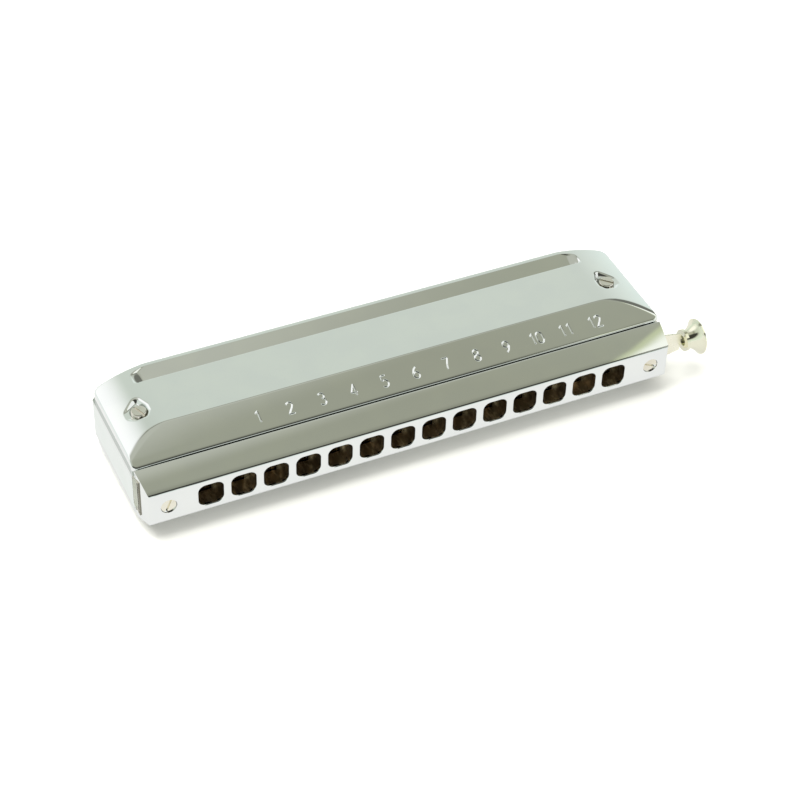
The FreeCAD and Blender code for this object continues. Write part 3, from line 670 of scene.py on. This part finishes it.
# ---- Pieces ----
@dataclass
class Workbench:
    """Turns points in the instrument's axes into pieces, and keeps one material for each finish."""

    depth: float
    height: float
    nodes: dict[str, bpy.types.Object]
    materials: dict[str, bpy.types.Material] = field(default_factory=dict)

    @classmethod
    def from_frame(cls, nodes: dict[str, bpy.types.Object]) -> Workbench:
        """Finds the instrument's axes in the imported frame.

        Args:
            nodes: The CAD nodes by name.

        Returns:
            A workbench whose axes start at the mouthpiece's front face and the comb's middle.
        """
        low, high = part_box("comb")
        return cls(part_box("mouthpiece")[0].y, (low.z + high.z) / 2, nodes)

    def material(self, finish: Finish) -> bpy.types.Material:
        """The finish's material, made when it is first asked for."""
        if finish.name not in self.materials:
            self.materials[finish.name] = finish.material()
        return self.materials[finish.name]

    def dress(self, finish: Finish, *names: str) -> None:
        """Gives CAD nodes, whose shapes stay, a finish.

        Args:
            finish: The finish.
            names: The nodes.
        """
        for name in names:
            for slot in self.nodes[name].material_slots:
                slot.material = self.material(finish)
            log.info("dressed %s in %s", name, finish.name)

    def make(
        self,
        name: str,
        points: np.ndarray,
        faces: list[list[int]] | np.ndarray,
        finish: Finish,
        slot: str,
        body: str,
        replaced: tuple[str, ...] = (),
    ) -> bpy.types.Object:
        """Makes one piece, smooth except at its sharp edges.

        Args:
            name: The piece's name.
            points: Its points in the instrument's axes, in millimetres.
            faces: Point numbers of each face, anticlockwise from outside.
            finish: Its finish.
            slot: The name of a material slot; not used.
            body: The CAD body that it rides on.
            replaced: The CAD nodes that it stands for.

        Returns:
            The piece.
        """
        mesh = bpy.data.meshes.new(name)
        placed = points * MM + (0, self.depth, self.height)
        rows = faces.tolist() if isinstance(faces, np.ndarray) else faces
        mesh.from_pydata(placed.tolist(), [], rows)
        mesh.shade_smooth()
        mesh.set_sharp_from_angle(angle=SHARP_ANGLE)
        mesh.materials.append(self.material(finish))
        piece = bpy.data.objects.new(name, mesh)
        bpy.context.scene.collection.objects.link(piece)
        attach(piece, body)
        if replaced:
            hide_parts(*replaced)
        log.info("made %s: %d faces", name, len(mesh.polygons))
        return piece


class Face(Enum):
    """Which side of the row of holes a cover lies on."""

    UPPER = 1
    LOWER = -1


@dataclass
class Cover:
    """A cover pressed from one sheet: number slope, flat top, falling ends, groove and dimples."""

    half_length: float = 80.7
    front: float = 8.65
    rear: float = 44.8
    seam: float = 6.5
    top: float = 12.4
    sheet: float = 0.8
    slope_foot: float = 8.6
    slope_end: float = 19.2
    slope_swell: float = 0.1
    crown_start: float = 66.0
    crown_radius: float = 39.0
    crease: float = 0.1
    end_crease: float = 0.5
    crease_run: tuple[float, float] = (66.0, 78.0)
    front_roll: float = 0.3
    slope_twist: tuple[float, float] = (0.3, 0.22)
    twist_start: float = 60.0
    foot_run: float = 3.0
    foot_droop: float = 0.1
    end_roll: float = 0.6
    rear_roll: float = 1.0
    rear_corner: tuple[float, float] = (15.9, 2.4)
    front_corner_radius: float = 1.6
    rear_corner_radius: float = 2.6
    groove: tuple[float, float] = (37.3, 42.9)
    groove_half: float = 69.8
    groove_corner: tuple[float, float] = (4.4, 1.9)
    groove_corner_radius: float = 1.0
    groove_rear_rise: float = 0.5
    groove_drop: float = 1.6
    groove_steepness: float = 3.2
    groove_rim: float = 0.32
    groove_end_depth: float = 0.4
    groove_ramp: float = 3.0
    screw: tuple[float, float] = (72.45, 26.4)
    dimple_corners: tuple[tuple[float, float], ...] = (
        (-1.5, -2.8), (1.5, -2.8), (3.9, -1.0), (3.9, 1.4), (-0.8, 5.9), (-2.8, 1.4), (-2.8, -1.0),
    )
    dimple_corner_radius: float = 1.2
    dimple_depth: float = 0.9
    dimple_steepness: float = 1.1
    dimple_rim: float = 0.5
    lip: float = 1.5
    lip_half: float = 63.8
    least_radius: float = 0.3
    least_roll: float = 0.15
    shelf_drop: float = 0.2

    def outline(self, inset: float) -> np.ndarray:
        """The cover seen from above, anticlockwise from its front left corner.

        Args:
            inset: How far inside the outer outline it lies.

        Returns:
            The outline's points.
        """
        half, (run, cut) = self.half_length - inset, self.rear_corner
        front, rear = self.front + inset, self.rear - inset
        tilt = math.atan2(cut, run)
        shift = inset * math.tan((math.pi / 2 - tilt) / 2)
        lift = inset * math.tan(tilt / 2)
        x_cut = self.half_length - run - lift
        y_cut = self.rear - cut - shift
        right = [(half, front), (half, y_cut), (x_cut, rear)]
        corners = np.array([(-half, front), *right, (-x_cut, rear), (-half, y_cut)])
        front_radius = max(self.front_corner_radius - inset, self.least_radius)
        rear_radius = max(self.rear_corner_radius - inset, self.least_radius)
        return rounded_outline(corners, np.array([front_radius] * 2 + [rear_radius] * 4))

    def pressed(
        self,
        top: np.ndarray,
        floor: np.ndarray | float,
        inside: np.ndarray,
        steepness: float,
        rim: float,
    ) -> np.ndarray:
        """A recess pressed into a height.

        Its wall falls with the distance inside its outline, with a soft rim, down to its floor.

        Args:
            top: The height before.
            floor: The recess's floor.
            inside: Distance inside the recess's outline.
            steepness: Fall of its wall for each millimetre.
            rim: Width of the roll at the wall's top and foot.

        Returns:
            The height after.
        """
        wall = -steepness * soft_min(-inside, 0.0, rim)
        return top - np.maximum(soft_min(wall, top - floor, rim * steepness * 0.4), 0)

    def height(self, x: np.ndarray, y: np.ndarray) -> np.ndarray:
        """The outer surface's height, before its edges are rolled down.

        It is the lesser of a rising slope and a crown that is flat in the middle and falls as a
        circle's arc at the ends, with the groove and the dimples pressed in. The slope swells by
        4 swell times share times (1 - share) on its way up and droops at its foot. Towards the ends
        it is twisted, down on the left and up on the right, with the square of the way past the
        twist's start.

        Args:
            x: Places along the body.
            y: Depths, of the same shape.

        Returns:
            The heights.
        """
        along = np.abs(x)
        rise = (self.top - self.slope_foot) / (self.slope_end - self.front)
        share = (y - self.front) / (self.slope_end - self.front)
        swell = 4 * self.slope_swell * np.clip(share, 0, 1) * np.clip(1 - share, 0, 1)
        droop = self.foot_droop * np.clip(1 - (y - self.front) / self.foot_run, 0, 1) ** 2
        slope = self.slope_foot + rise * (y - self.front) + swell - droop
        past = (along - self.twist_start) / (self.half_length - self.twist_start)
        twist = np.where(x < 0, -self.slope_twist[0], self.slope_twist[1])
        slope += twist * np.clip(past, 0, 1) ** 2
        fall = np.maximum(along - self.crown_start, 0)
        crown = self.top - self.crown_radius + np.sqrt(self.crown_radius**2 - fall**2)
        crease = self.crease + (self.end_crease - self.crease) * soft_step(along, *self.crease_run)
        surface = soft_min(slope, crown, crease)

        start, end = self.groove
        run, cut = self.groove_corner
        half = self.groove_half
        right = [(half, start), (half, end - cut), (half - run, end)]
        corners = np.array([(-half, start), *right, (run - half, end), (-half, end - cut)])
        inside = depth_inside(x, y, rounded_outline(corners, np.full(6, self.groove_corner_radius)))
        shallow = self.groove_end_depth
        ramp = shallow + (1 - shallow) * soft_step(half - along, 0, self.groove_ramp)
        fall = ramp * (end - y) / (end - start - self.groove_rear_rise)
        floor = self.top - self.groove_drop * fall
        surface = self.pressed(surface, floor, inside, self.groove_steepness, self.groove_rim)

        corners = np.array(self.dimple_corners) + self.screw
        plan = rounded_outline(corners, np.full(len(corners), self.dimple_corner_radius))
        drop = self.screw[0] - self.crown_start
        crown = self.top - self.crown_radius + math.sqrt(self.crown_radius**2 - drop**2)
        seat, inside = crown - self.dimple_depth, depth_inside(along, y, plan)
        return self.pressed(surface, seat, inside, self.dimple_steepness, self.dimple_rim)

    def skin(self, inset: float, base: float) -> tuple[np.ndarray, np.ndarray]:
        """One skin of the cover, outer or inner: its pressed top and its walls.

        Rows run from front to rear and columns from end to end, each row as wide as the outline is
        at its depth, and every point is lowered near the outline as a quarter circle is. The wall
        follows the top's rim round and goes down to the base in rings.

        Args:
            inset: How far the skin lies inside the outer one.
            base: The height at which its walls end.

        Returns:
            The skin's points, and its faces.
        """
        outline = self.outline(inset)
        half, front, rear = self.half_length, self.front, self.rear
        stops = [(0, 3.2), (62, 0.5), (66, 0.24), (77.5, 0.2), (half - self.end_roll, 1)]
        ends = half - quarter_turn(self.end_roll, 7)[::-1]
        along = np.concatenate([graded(stops)[:-1], ends])
        columns = np.concatenate([-along[:0:-1], along]) / half
        middle = [
            (front + self.front_roll, 0.4), (18.4, 0.1), (20.0, 0.7), (22.8, 0.24), (32.8, 0.7),
            (36.6, 0.09), (38.3, 0.3), (42.2, 0.12), (rear - self.rear_roll, 1),
        ]
        fold = front + quarter_turn(self.front_roll, 6)
        lip = rear - quarter_turn(self.rear_roll, 7)[::-1]
        rows = np.concatenate([fold[:-1], graded(middle)[:-1], lip])
        rows = front + inset + (rows - front) * (rear - front - 2 * inset) / (rear - front)

        right = outline[outline[:, 0] > 1]
        order = np.argsort(right[:, 1], kind="stable")
        edge_y, edge_x = right[order, 1], right[order, 0]
        at_front = edge_x[edge_y < edge_y.min() + 1e-6].max()
        width = np.interp(rows, edge_y, edge_x)
        width[0], width[-1] = at_front, self._rear_width(edge_x, edge_y)
        y = np.repeat(rows[:, None], len(columns), axis=1)
        x = width[:, None] * columns

        share = soft_step(y, front, front + 2.5)
        share_rear = soft_step(y, rear - 4, rear)
        roll = self.front_roll + (self.end_roll - self.front_roll) * share
        roll += (self.rear_roll - self.end_roll) * share_rear - inset
        roll = np.maximum(roll, self.least_roll)
        inside = np.clip(depth_inside(x, y, outline), 0, roll)
        z = self.height(x, y) - inset - (roll - np.sqrt(roll**2 - (roll - inside) ** 2))
        top = np.stack([x, y, z], -1)

        count = len(columns)
        numbers = np.arange(top.shape[0] * count).reshape(-1, count)
        sides = [numbers[0], numbers[1:, -1], numbers[-1, -2::-1], numbers[-2:0:-1, 0]]
        rim = np.concatenate(sides)
        points = top.reshape(-1, 3)
        ring = points[rim]
        lip_height = self.top - self.lip
        low = ring[:, 2] <= lip_height
        shelf = np.where(low, ring[:, 2] - self.shelf_drop, lip_height)
        levels = (shelf, (shelf + base) / 2, np.full(len(rim), base))
        walls = [np.stack([ring[:, 0], ring[:, 1], level], -1) for level in levels]
        wall_numbers = np.arange(len(rim) * len(walls)).reshape(-1, len(rim)) + len(points)
        here = np.concatenate([rim[None], wall_numbers])
        ahead = np.roll(here, -1, axis=1)
        quads = np.stack([here[1:], ahead[1:], ahead[:-1], here[:-1]], -1)
        following = np.roll(ring, -1, axis=0)
        at_back = np.minimum(ring[:, 1], following[:, 1]) > rear - inset - 0.02
        open_back = at_back & (np.abs(ring[:, 0] + following[:, 0]) / 2 < self.lip_half)
        kept = [quads[0], *(level[~open_back] for level in quads[1:])]
        faces = np.concatenate([grid_faces(len(rows), count), *kept])
        return np.concatenate([points, *walls]), faces

    @staticmethod
    def _rear_width(edge_x: np.ndarray, edge_y: np.ndarray) -> float:
        """How far the outline's straight rear edge reaches from the middle."""
        return float(edge_x[edge_y > edge_y.max() - 1e-4].max())

    def build(self, bench: Workbench, side: Face) -> None:
        """Makes the cover as a closed sheet: outer skin, inner skin and the cut edges between.

        Args:
            bench: The workbench.
            side: Which cover it is; the lower one is the upper one's mirror image.
        """
        outer, faces = self.skin(0.0, self.seam)
        inner, _ = self.skin(self.sheet, self.seam)
        edges = open_edges(faces)
        count = len(outer)
        cut = np.stack([edges[:, 1], edges[:, 0], edges[:, 0] + count, edges[:, 1] + count], -1)
        faces = np.concatenate([faces, faces[:, ::-1] + count, cut])
        points = np.concatenate([outer, inner]) * (1, 1, side.value)
        if side is Face.LOWER:
            faces = faces[:, ::-1]
        name = f"{side.name.lower()}_cover"
        bench.make(
            f"{name}_pressing", points, faces, PRESSED_CHROME, "cover_chrome", "body", (name,)
        )


class Stroke(Enum):
    """The digits from nought to nine: for each line across, up, across, up and so on.

    The numbers are hundredths of a digit's height; a digit is 56 wide.
    """

    ZERO = (
        (28, 100, 12, 94, 4, 76, 3, 50, 4, 24, 12, 6, 28, 0, 44, 6, 52, 24, 53, 50, 52, 76, 44,
         94, 28, 100),
    )
    ONE = ((12, 76, 36, 100, 36, 0),)
    TWO = ((4, 78, 10, 93, 28, 100, 46, 92, 50, 74, 40, 52, 3, 0, 54, 0),)
    THREE = (
        (5, 86, 16, 98, 34, 99, 48, 88, 48, 66, 36, 55, 22, 53),
        (36, 53, 50, 42, 52, 20, 40, 3, 18, 0, 4, 14),
    )
    FOUR = ((38, 0, 38, 100, 2, 28, 54, 28),)
    FIVE = ((48, 100, 10, 100, 7, 55, 24, 62, 42, 56, 52, 36, 46, 12, 30, 0, 14, 1, 3, 13),)
    SIX = (
        (42, 100, 20, 78, 6, 46, 5, 22, 16, 3, 32, 0, 47, 8, 52, 28, 46, 47, 30, 56, 14, 50, 6, 36),
    )
    SEVEN = ((3, 100, 53, 100, 34, 50, 22, 0),)
    EIGHT = (
        (28, 54, 12, 64, 8, 80, 16, 96, 28, 100, 42, 95, 48, 80, 44, 64, 28, 54, 10, 44, 3, 24,
         12, 5, 28, 0, 45, 5, 53, 24, 46, 44, 28, 54),
    )
    NINE = (
        (14, 0, 36, 22, 50, 54, 51, 78, 40, 97, 24, 100, 9, 92, 4, 72, 10, 53, 26, 44, 42, 50,
         50, 64),
    )

    def lines(self) -> list[np.ndarray]:
        """The digit's lines, as points in shares of its height."""
        return [np.array(line, float).reshape(-1, 2) / 100 for line in self.value]


@dataclass
class Numerals:
    """The numbers 1 to 12 stamped on the upper cover's slope, one over each hole from the third."""

    cover: Cover
    pitch: float = 9.5
    first_hole: float = -42.75
    count: int = 12
    digit_width: float = 0.56
    step: float = 0.16
    ribs: int = 9
    bulge: float = 1.3
    depth: float = 13.2
    height: float = 3.7
    half_stroke: float = 0.3
    relief: float = 0.2
    sunk: float = 0.04
    digit_gap: float = 0.62

    def stroke(self, line: np.ndarray) -> tuple[np.ndarray, np.ndarray]:
        """One stroke as a half-round ridge lying on the cover.

        The line is first divided evenly, then a half ellipse is carried along it: the ellipse's
        width lies across the line and its height stands on the cover, and both shrink to nothing
        at the line's two ends as a circle's do.

        Args:
            line: The stroke's points on the slope, in millimetres along X and up the slope.

        Returns:
            The ridge's points and faces.
        """
        lengths = np.concatenate([[0], np.cumsum(np.hypot(*np.diff(line, axis=0).T))])
        places = np.linspace(0, lengths[-1], max(6, int(lengths[-1] / self.step)))
        path = np.stack([np.interp(places, lengths, line[:, axis]) for axis in (0, 1)], -1)
        smooth = path.copy()
        smooth[1:-1] = (path[:-2] + 2 * path[1:-1] + path[2:]) / 4
        ahead = np.gradient(smooth, axis=0)
        ahead /= np.linalg.norm(ahead, axis=1, keepdims=True)
        across = np.stack([-ahead[:, 1], ahead[:, 0]], -1)
        ends = np.minimum(places, lengths[-1] - places) / self.half_stroke
        taper = np.sqrt(np.clip(1 - (1 - np.clip(ends, 0, 1)) ** 2, 0.02, 1))
        across_share = np.linspace(-1, 1, self.ribs)
        offset = -taper[:, None] * across_share * self.half_stroke
        plan = smooth[:, None] + across[:, None] * offset[..., None]
        cover = self.cover
        tilt = math.atan2(cover.top - cover.slope_foot, cover.slope_end - cover.front)
        x, y = plan[..., 0], self.depth + plan[..., 1] * math.cos(tilt)
        raised = self.relief * taper[:, None] * (1 - np.abs(across_share) ** self.bulge)
        raised[:, [0, -1]] -= self.sunk
        z = cover.height(x, y) + raised
        points = np.stack([x, y, z], -1).reshape(-1, 3)
        rows, columns = len(path), len(across_share)
        base = np.arange(rows) * columns
        last = base + columns - 1
        closing = np.stack([last[:-1], base[:-1], base[1:], last[1:]], -1)
        quads = np.concatenate([grid_faces(rows, columns), closing])
        return points, quads

    def build(self, bench: Workbench) -> None:
        """Makes all the numbers as one piece.

        Args:
            bench: The workbench.
        """
        points, faces, count = [], [], 0
        strokes = tuple(Stroke)
        for number in range(1, self.count + 1):
            digits = str(number)
            centre = self.first_hole + (number - 1) * self.pitch
            width = self.digit_width * self.height
            start = centre - (width + (len(digits) - 1) * self.digit_gap * self.height) / 2
            for place, digit in enumerate(digits):
                left = start + place * self.digit_gap * self.height
                for line in strokes[int(digit)].lines():
                    drawn = line * self.height + (left, -self.height / 2)
                    ridge, quads = self.stroke(drawn)
                    points.append(ridge)
                    faces.append(quads[:, ::-1] + count)
                    count += len(ridge)
        ridges, quads = np.concatenate(points), np.concatenate(faces)
        bench.make("stamped_numbers", ridges, quads, STAMPED, "cover_chrome", "body")


@dataclass
class Mouthpiece:
    """The mouthpiece bar: the CAD shape with swelled slopes, rolled over at the rear."""

    bench: Workbench
    rear_roll: float = 0.3
    bow_run: float = 2.0
    bow_drop: float = 0.05
    swell: float = 0.16
    skin: float = 0.45
    cut_margin: float = 0.6
    cuts: int = 14
    roll_cuts: int = 5
    front_band: float = 0.7

    def build(self) -> None:
        """Cuts the CAD mesh across its depth, shifts the cuts on both slopes and makes the bar.

        With share as the depth over the slope's whole depth, a point on a slope goes up by
        4 swell share (1 - share). It comes down by bow_drop (1 - depth / bow_run)^2 near the front,
        and by a quarter circle's fall within rear_roll of the rear.
        """
        source = self.bench.nodes["mouthpiece"]
        work = bmesh.new()
        work.from_mesh(source.data)
        work.transform(source.matrix_world)
        places = np.array([vertex.co[:] for vertex in work.verts])
        rear = (places[:, 1].max() - self.bench.depth) / MM
        margin = self.cut_margin
        evenly = np.linspace(margin, rear - margin, self.cuts)
        for depth in [*evenly, *(rear - quarter_turn(self.rear_roll, self.roll_cuts)[1:])]:
            geometry = [*work.verts, *work.edges, *work.faces]
            plane = (0.0, self.bench.depth + depth * MM, 0.0)
            bmesh.ops.bisect_plane(
                work, geom=geometry, dist=1e-7, plane_co=plane, plane_no=(0, 1, 0)
            )
        bmesh.ops.triangulate(work, faces=work.faces)
        work.verts.index_update()
        places = np.array([vertex.co[:] for vertex in work.verts])
        points = (places - (0, self.bench.depth, self.bench.height)) / MM
        y, tall = points[:, 1], np.abs(points[:, 2])
        top = points[:, 2].max()
        front_top = tall[y < self.front_band * self.skin].max()
        share = y / rear
        slope = front_top + (top - front_top) * share
        bow = self.bow_drop * np.clip(1 - y / self.bow_run, 0, 1) ** 2
        bow -= 4 * self.swell * share * (1 - share)
        past = np.clip(y - (rear - self.rear_roll), 0, self.rear_roll)
        roll = self.rear_roll - np.sqrt(self.rear_roll**2 - past**2)
        on_slope = soft_step(tall, slope - 2 * self.skin, slope - self.skin)
        points[:, 2] -= np.sign(points[:, 2]) * (bow + roll) * on_slope
        faces = [[vertex.index for vertex in face.verts] for face in work.faces]
        work.free()
        self.bench.make(
            "mouthpiece_bar", points, faces, CHROME, "mouthpiece_chrome", "body", ("mouthpiece",)
        )


@dataclass
class Works:
    """Everything whose CAD shape stays: comb, reed plates, slide, screws and spring."""

    bench: Workbench

    def dress(self) -> None:
        """Gives each of these nodes its finish."""
        sides = ("upper", "lower")
        dress = self.bench.dress
        dress(COMB, "comb")
        dress(CAGE, "slide_front_plate", "slide_rear_plate")
        dress(SLIDE, "slide")
        dress(BUTTON, "slide_button")
        dress(RUBBER, "slide_stop_sleeves")
        dress(SPRING, "slide_spring")
        dress(PIN, "spring_pin")
        dress(FRONT_SCREW, "mouthpiece_screws")
        dress(COVER_SCREW, *(f"{side}_cover_screws" for side in sides))
        dress(POST, *(f"{side}_cover_posts" for side in sides))
        dress(PLATE, *(f"{side}_reed_plate" for side in sides))
        dress(PLATE_SCREW, *(f"{side}_plate_screws" for side in sides))
        dress(REED, *(f"{side}_{kind}_reeds" for side in sides for kind in ("draw", "blow")))
        dress(RIVET, *(f"{side}_reed_rivets" for side in sides))
        dress(FILM, *(f"{side}_{kind}_valves" for side in sides for kind in ("outer", "inner")))


# ---- Studio ----
@dataclass(frozen=True)
class Room:
    """What the chrome mirrors: a brightness for each height, and cards in certain directions."""

    heights: tuple[tuple[float, Colour], ...] = (
        (0.00, (0.97, 0.985, 1.0)), (0.20, (0.83, 0.92, 0.87)), (0.44, (0.74, 0.80, 0.74)),
        (0.58, (0.66, 0.71, 0.65)), (0.70, (0.64, 0.695, 0.63)), (0.77, (0.50, 0.52, 0.45)),
        (0.82, (0.24, 0.25, 0.21)), (0.87, (0.42, 0.43, 0.36)), (0.90, (0.375, 0.39, 0.31)),
        (0.93, (0.355, 0.365, 0.29)), (1.00, (0.37, 0.385, 0.31)),
    )
    overhead_rear: Colour = (0.51, 0.525, 0.455)
    left_wall: Colour = (1.15, 1.15, 1.15)
    high_front: Colour = (0.05, 0.05, 0.045)
    strip_edge: Colour = (0.585, 0.634, 0.416)
    strip: Colour = (1.05, 1.07, 0.98)
    right_side: Colour = (0.95, 0.97, 0.95)
    dark_card: Colour = (0.17, 0.175, 0.15)
    matt_light: Colour = (0.42, 0.42, 0.40)
    backdrop: Colour = (1.0, 1.0, 1.0)

    def build(self) -> None:
        """Makes the world from the direction's three components.

        Each card is laid over the ones before it. The bright strip on the right has a tinted edge
        that leans a little. Matt surfaces get an even light, and the backdrop is white.
        """
        world = bpy.data.worlds.new("studio_room")
        world.use_nodes = True
        bpy.context.scene.world = world
        graph = Graph(world.node_tree)
        x, y, z = graph.split(graph.node("ShaderNodeTexCoord", output="Generated"))
        room = graph.node("ShaderNodeValToRGB", {"stops": self.heights}, {"Fac": z})
        edge = (x - 0.4135) - (y + 0.07) * 0.101
        strip_run = (0.22 - y).eased(0.0, 0.03) * (y + 0.6).eased(0.0, 0.1)
        dark = x.eased(0.42, 0.52) * y.eased(0.18, 0.26) * (0.58 - y).eased(0.0, 0.08)
        cards = [
            ((y - (x - 0.2) * 0.8).eased(0.03, 0.2) * z.eased(0.83, 0.88), self.overhead_rear),
            ((x * -0.45 + y * 0.6 + z * 0.66).eased(0.89, 0.99), self.left_wall),
            ((0 - y).eased(0.02, 0.22) * z.eased(0.40, 0.62), self.high_front),
            (edge.eased(-0.002, 0.003) * strip_run, self.strip_edge),
            (edge.eased(0.003, 0.015) * strip_run, self.strip),
            (x.eased(0.46, 0.56) * (0.2 - y).eased(0.0, 0.08), self.right_side),
            (dark, self.dark_card),
            (graph.node("ShaderNodeLightPath", output="Is Diffuse Ray"), self.matt_light),
            (graph.node("ShaderNodeLightPath", output="Is Camera Ray"), self.backdrop),
        ]
        for share, tone in cards:
            room = graph.blend(share, room, tone)
        background = graph.node("ShaderNodeBackground", None, {"Color": room, "Strength": 1.0})
        graph.node("ShaderNodeOutputWorld", None, {"Surface": background})


@dataclass
class Studio:
    """Floor, light and camera."""

    floor_half: float = 1.1
    floor_tone: Colour = (0.9, 0.9, 0.85)
    floor_glow: float = 0.82
    mirrored_glow: float = 0.85
    lens: float = 100.4
    sensor: float = 36.0
    azimuth: float = -25.60
    elevation: float = 41.98
    roll: float = 1.85
    camera_place: Row = (-0.2008, -0.43105, 0.4314)
    key_place: Row = (-0.4, 0.12, 1.25)
    key_size: float = 1.1
    key_watts: float = 22.0
    fill_place: Row = (0.1, -0.2, 1.3)
    fill_size: float = 1.8
    fill_watts: float = 12.0

    def build(self) -> None:
        """Makes the whole studio."""
        self._floor()
        Room().build()
        self._lamp("key_softbox", self.key_place, self.key_size, self.key_watts)
        self._lamp("fill_softbox", self.fill_place, self.fill_size, self.fill_watts)
        self._camera()
        bpy.context.scene.view_settings.view_transform = "Standard"
        log.info("built the studio")

    def _floor(self) -> None:
        """A white sheet under the object: it takes the shadow, and glows only in mirrors."""
        half = self.floor_half
        mesh = bpy.data.meshes.new("floor")
        corners = [(-half, -half, 0), (half, -half, 0), (half, half, 0), (-half, half, 0)]
        mesh.from_pydata(corners, [], [(0, 1, 2, 3)])
        paper = bpy.data.materials.new("white_paper")
        paper.use_nodes = True
        graph = Graph(paper.node_tree)
        diffuse = graph.node("ShaderNodeBsdfDiffuse", None, {"Color": (*self.floor_tone, 1)})
        light = {"Color": (1, 1, 1, 1), "Strength": self.floor_glow}
        glow = graph.node("ShaderNodeEmission", None, light)
        share = graph.node("ShaderNodeLightPath", output="Is Glossy Ray") * self.mirrored_glow
        mixed = graph.node("ShaderNodeMixShader", None, {0: share, 1: diffuse, 2: glow})
        graph.node("ShaderNodeOutputMaterial", None, {"Surface": mixed})
        mesh.materials.append(paper)
        floor = bpy.data.objects.new("floor", mesh)
        bpy.context.scene.collection.objects.link(floor)

    @staticmethod
    def _lamp(name: str, place: Row, size: float, watts: float) -> None:
        """A square softbox that faces the object and isn't mirrored in it.

        Args:
            name: The lamp's name.
            place: Where it hangs, in metres.
            size: Its side, in metres.
            watts: Its power.
        """
        lamp = bpy.data.lights.new(name, "AREA")
        lamp.size, lamp.energy = size, watts
        holder = bpy.data.objects.new(name, lamp)
        holder.location = place
        holder.rotation_euler = (-Vector(place)).to_track_quat("-Z", "Y").to_euler()
        holder.visible_glossy = False
        bpy.context.scene.collection.objects.link(holder)

    def _camera(self) -> None:
        """A long lens, turned by its azimuth, elevation and roll."""
        angles = (self.azimuth, self.elevation, self.roll)
        azimuth, elevation, roll = (math.radians(angle) for angle in angles)
        flat = math.cos(elevation)
        ahead = Vector((-math.sin(azimuth) * flat, math.cos(azimuth) * flat, -math.sin(elevation)))
        level = ahead.cross(Vector((0, 0, 1))).normalized()
        right = level * math.cos(roll) + level.cross(ahead) * math.sin(roll)
        up = right.cross(ahead)
        camera = bpy.data.objects.new("camera", bpy.data.cameras.new("camera"))
        camera.data.lens, camera.data.sensor_width = self.lens, self.sensor
        camera.data.clip_start = 0.01
        turned = Matrix((right, up, -ahead)).transposed().to_4x4()
        camera.matrix_world = Matrix.Translation(self.camera_place) @ turned
        bpy.context.scene.collection.objects.link(camera)
        bpy.context.scene.camera = camera


def main() -> None:
    """Builds the looks round the frame."""
    logging.basicConfig(level=logging.INFO, format="%(name)s: %(message)s")
    bpy.ops.wm.read_factory_settings(use_empty=True)
    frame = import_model()
    bench = Workbench.from_frame(frame["nodes"])
    cover = Cover()
    for side in Face:
        cover.build(bench, side)
    Numerals(cover).build(bench)
    Mouthpiece(bench).build()
    Works(bench).dress()
    Studio().build()


if __name__ == "__main__":
    main()
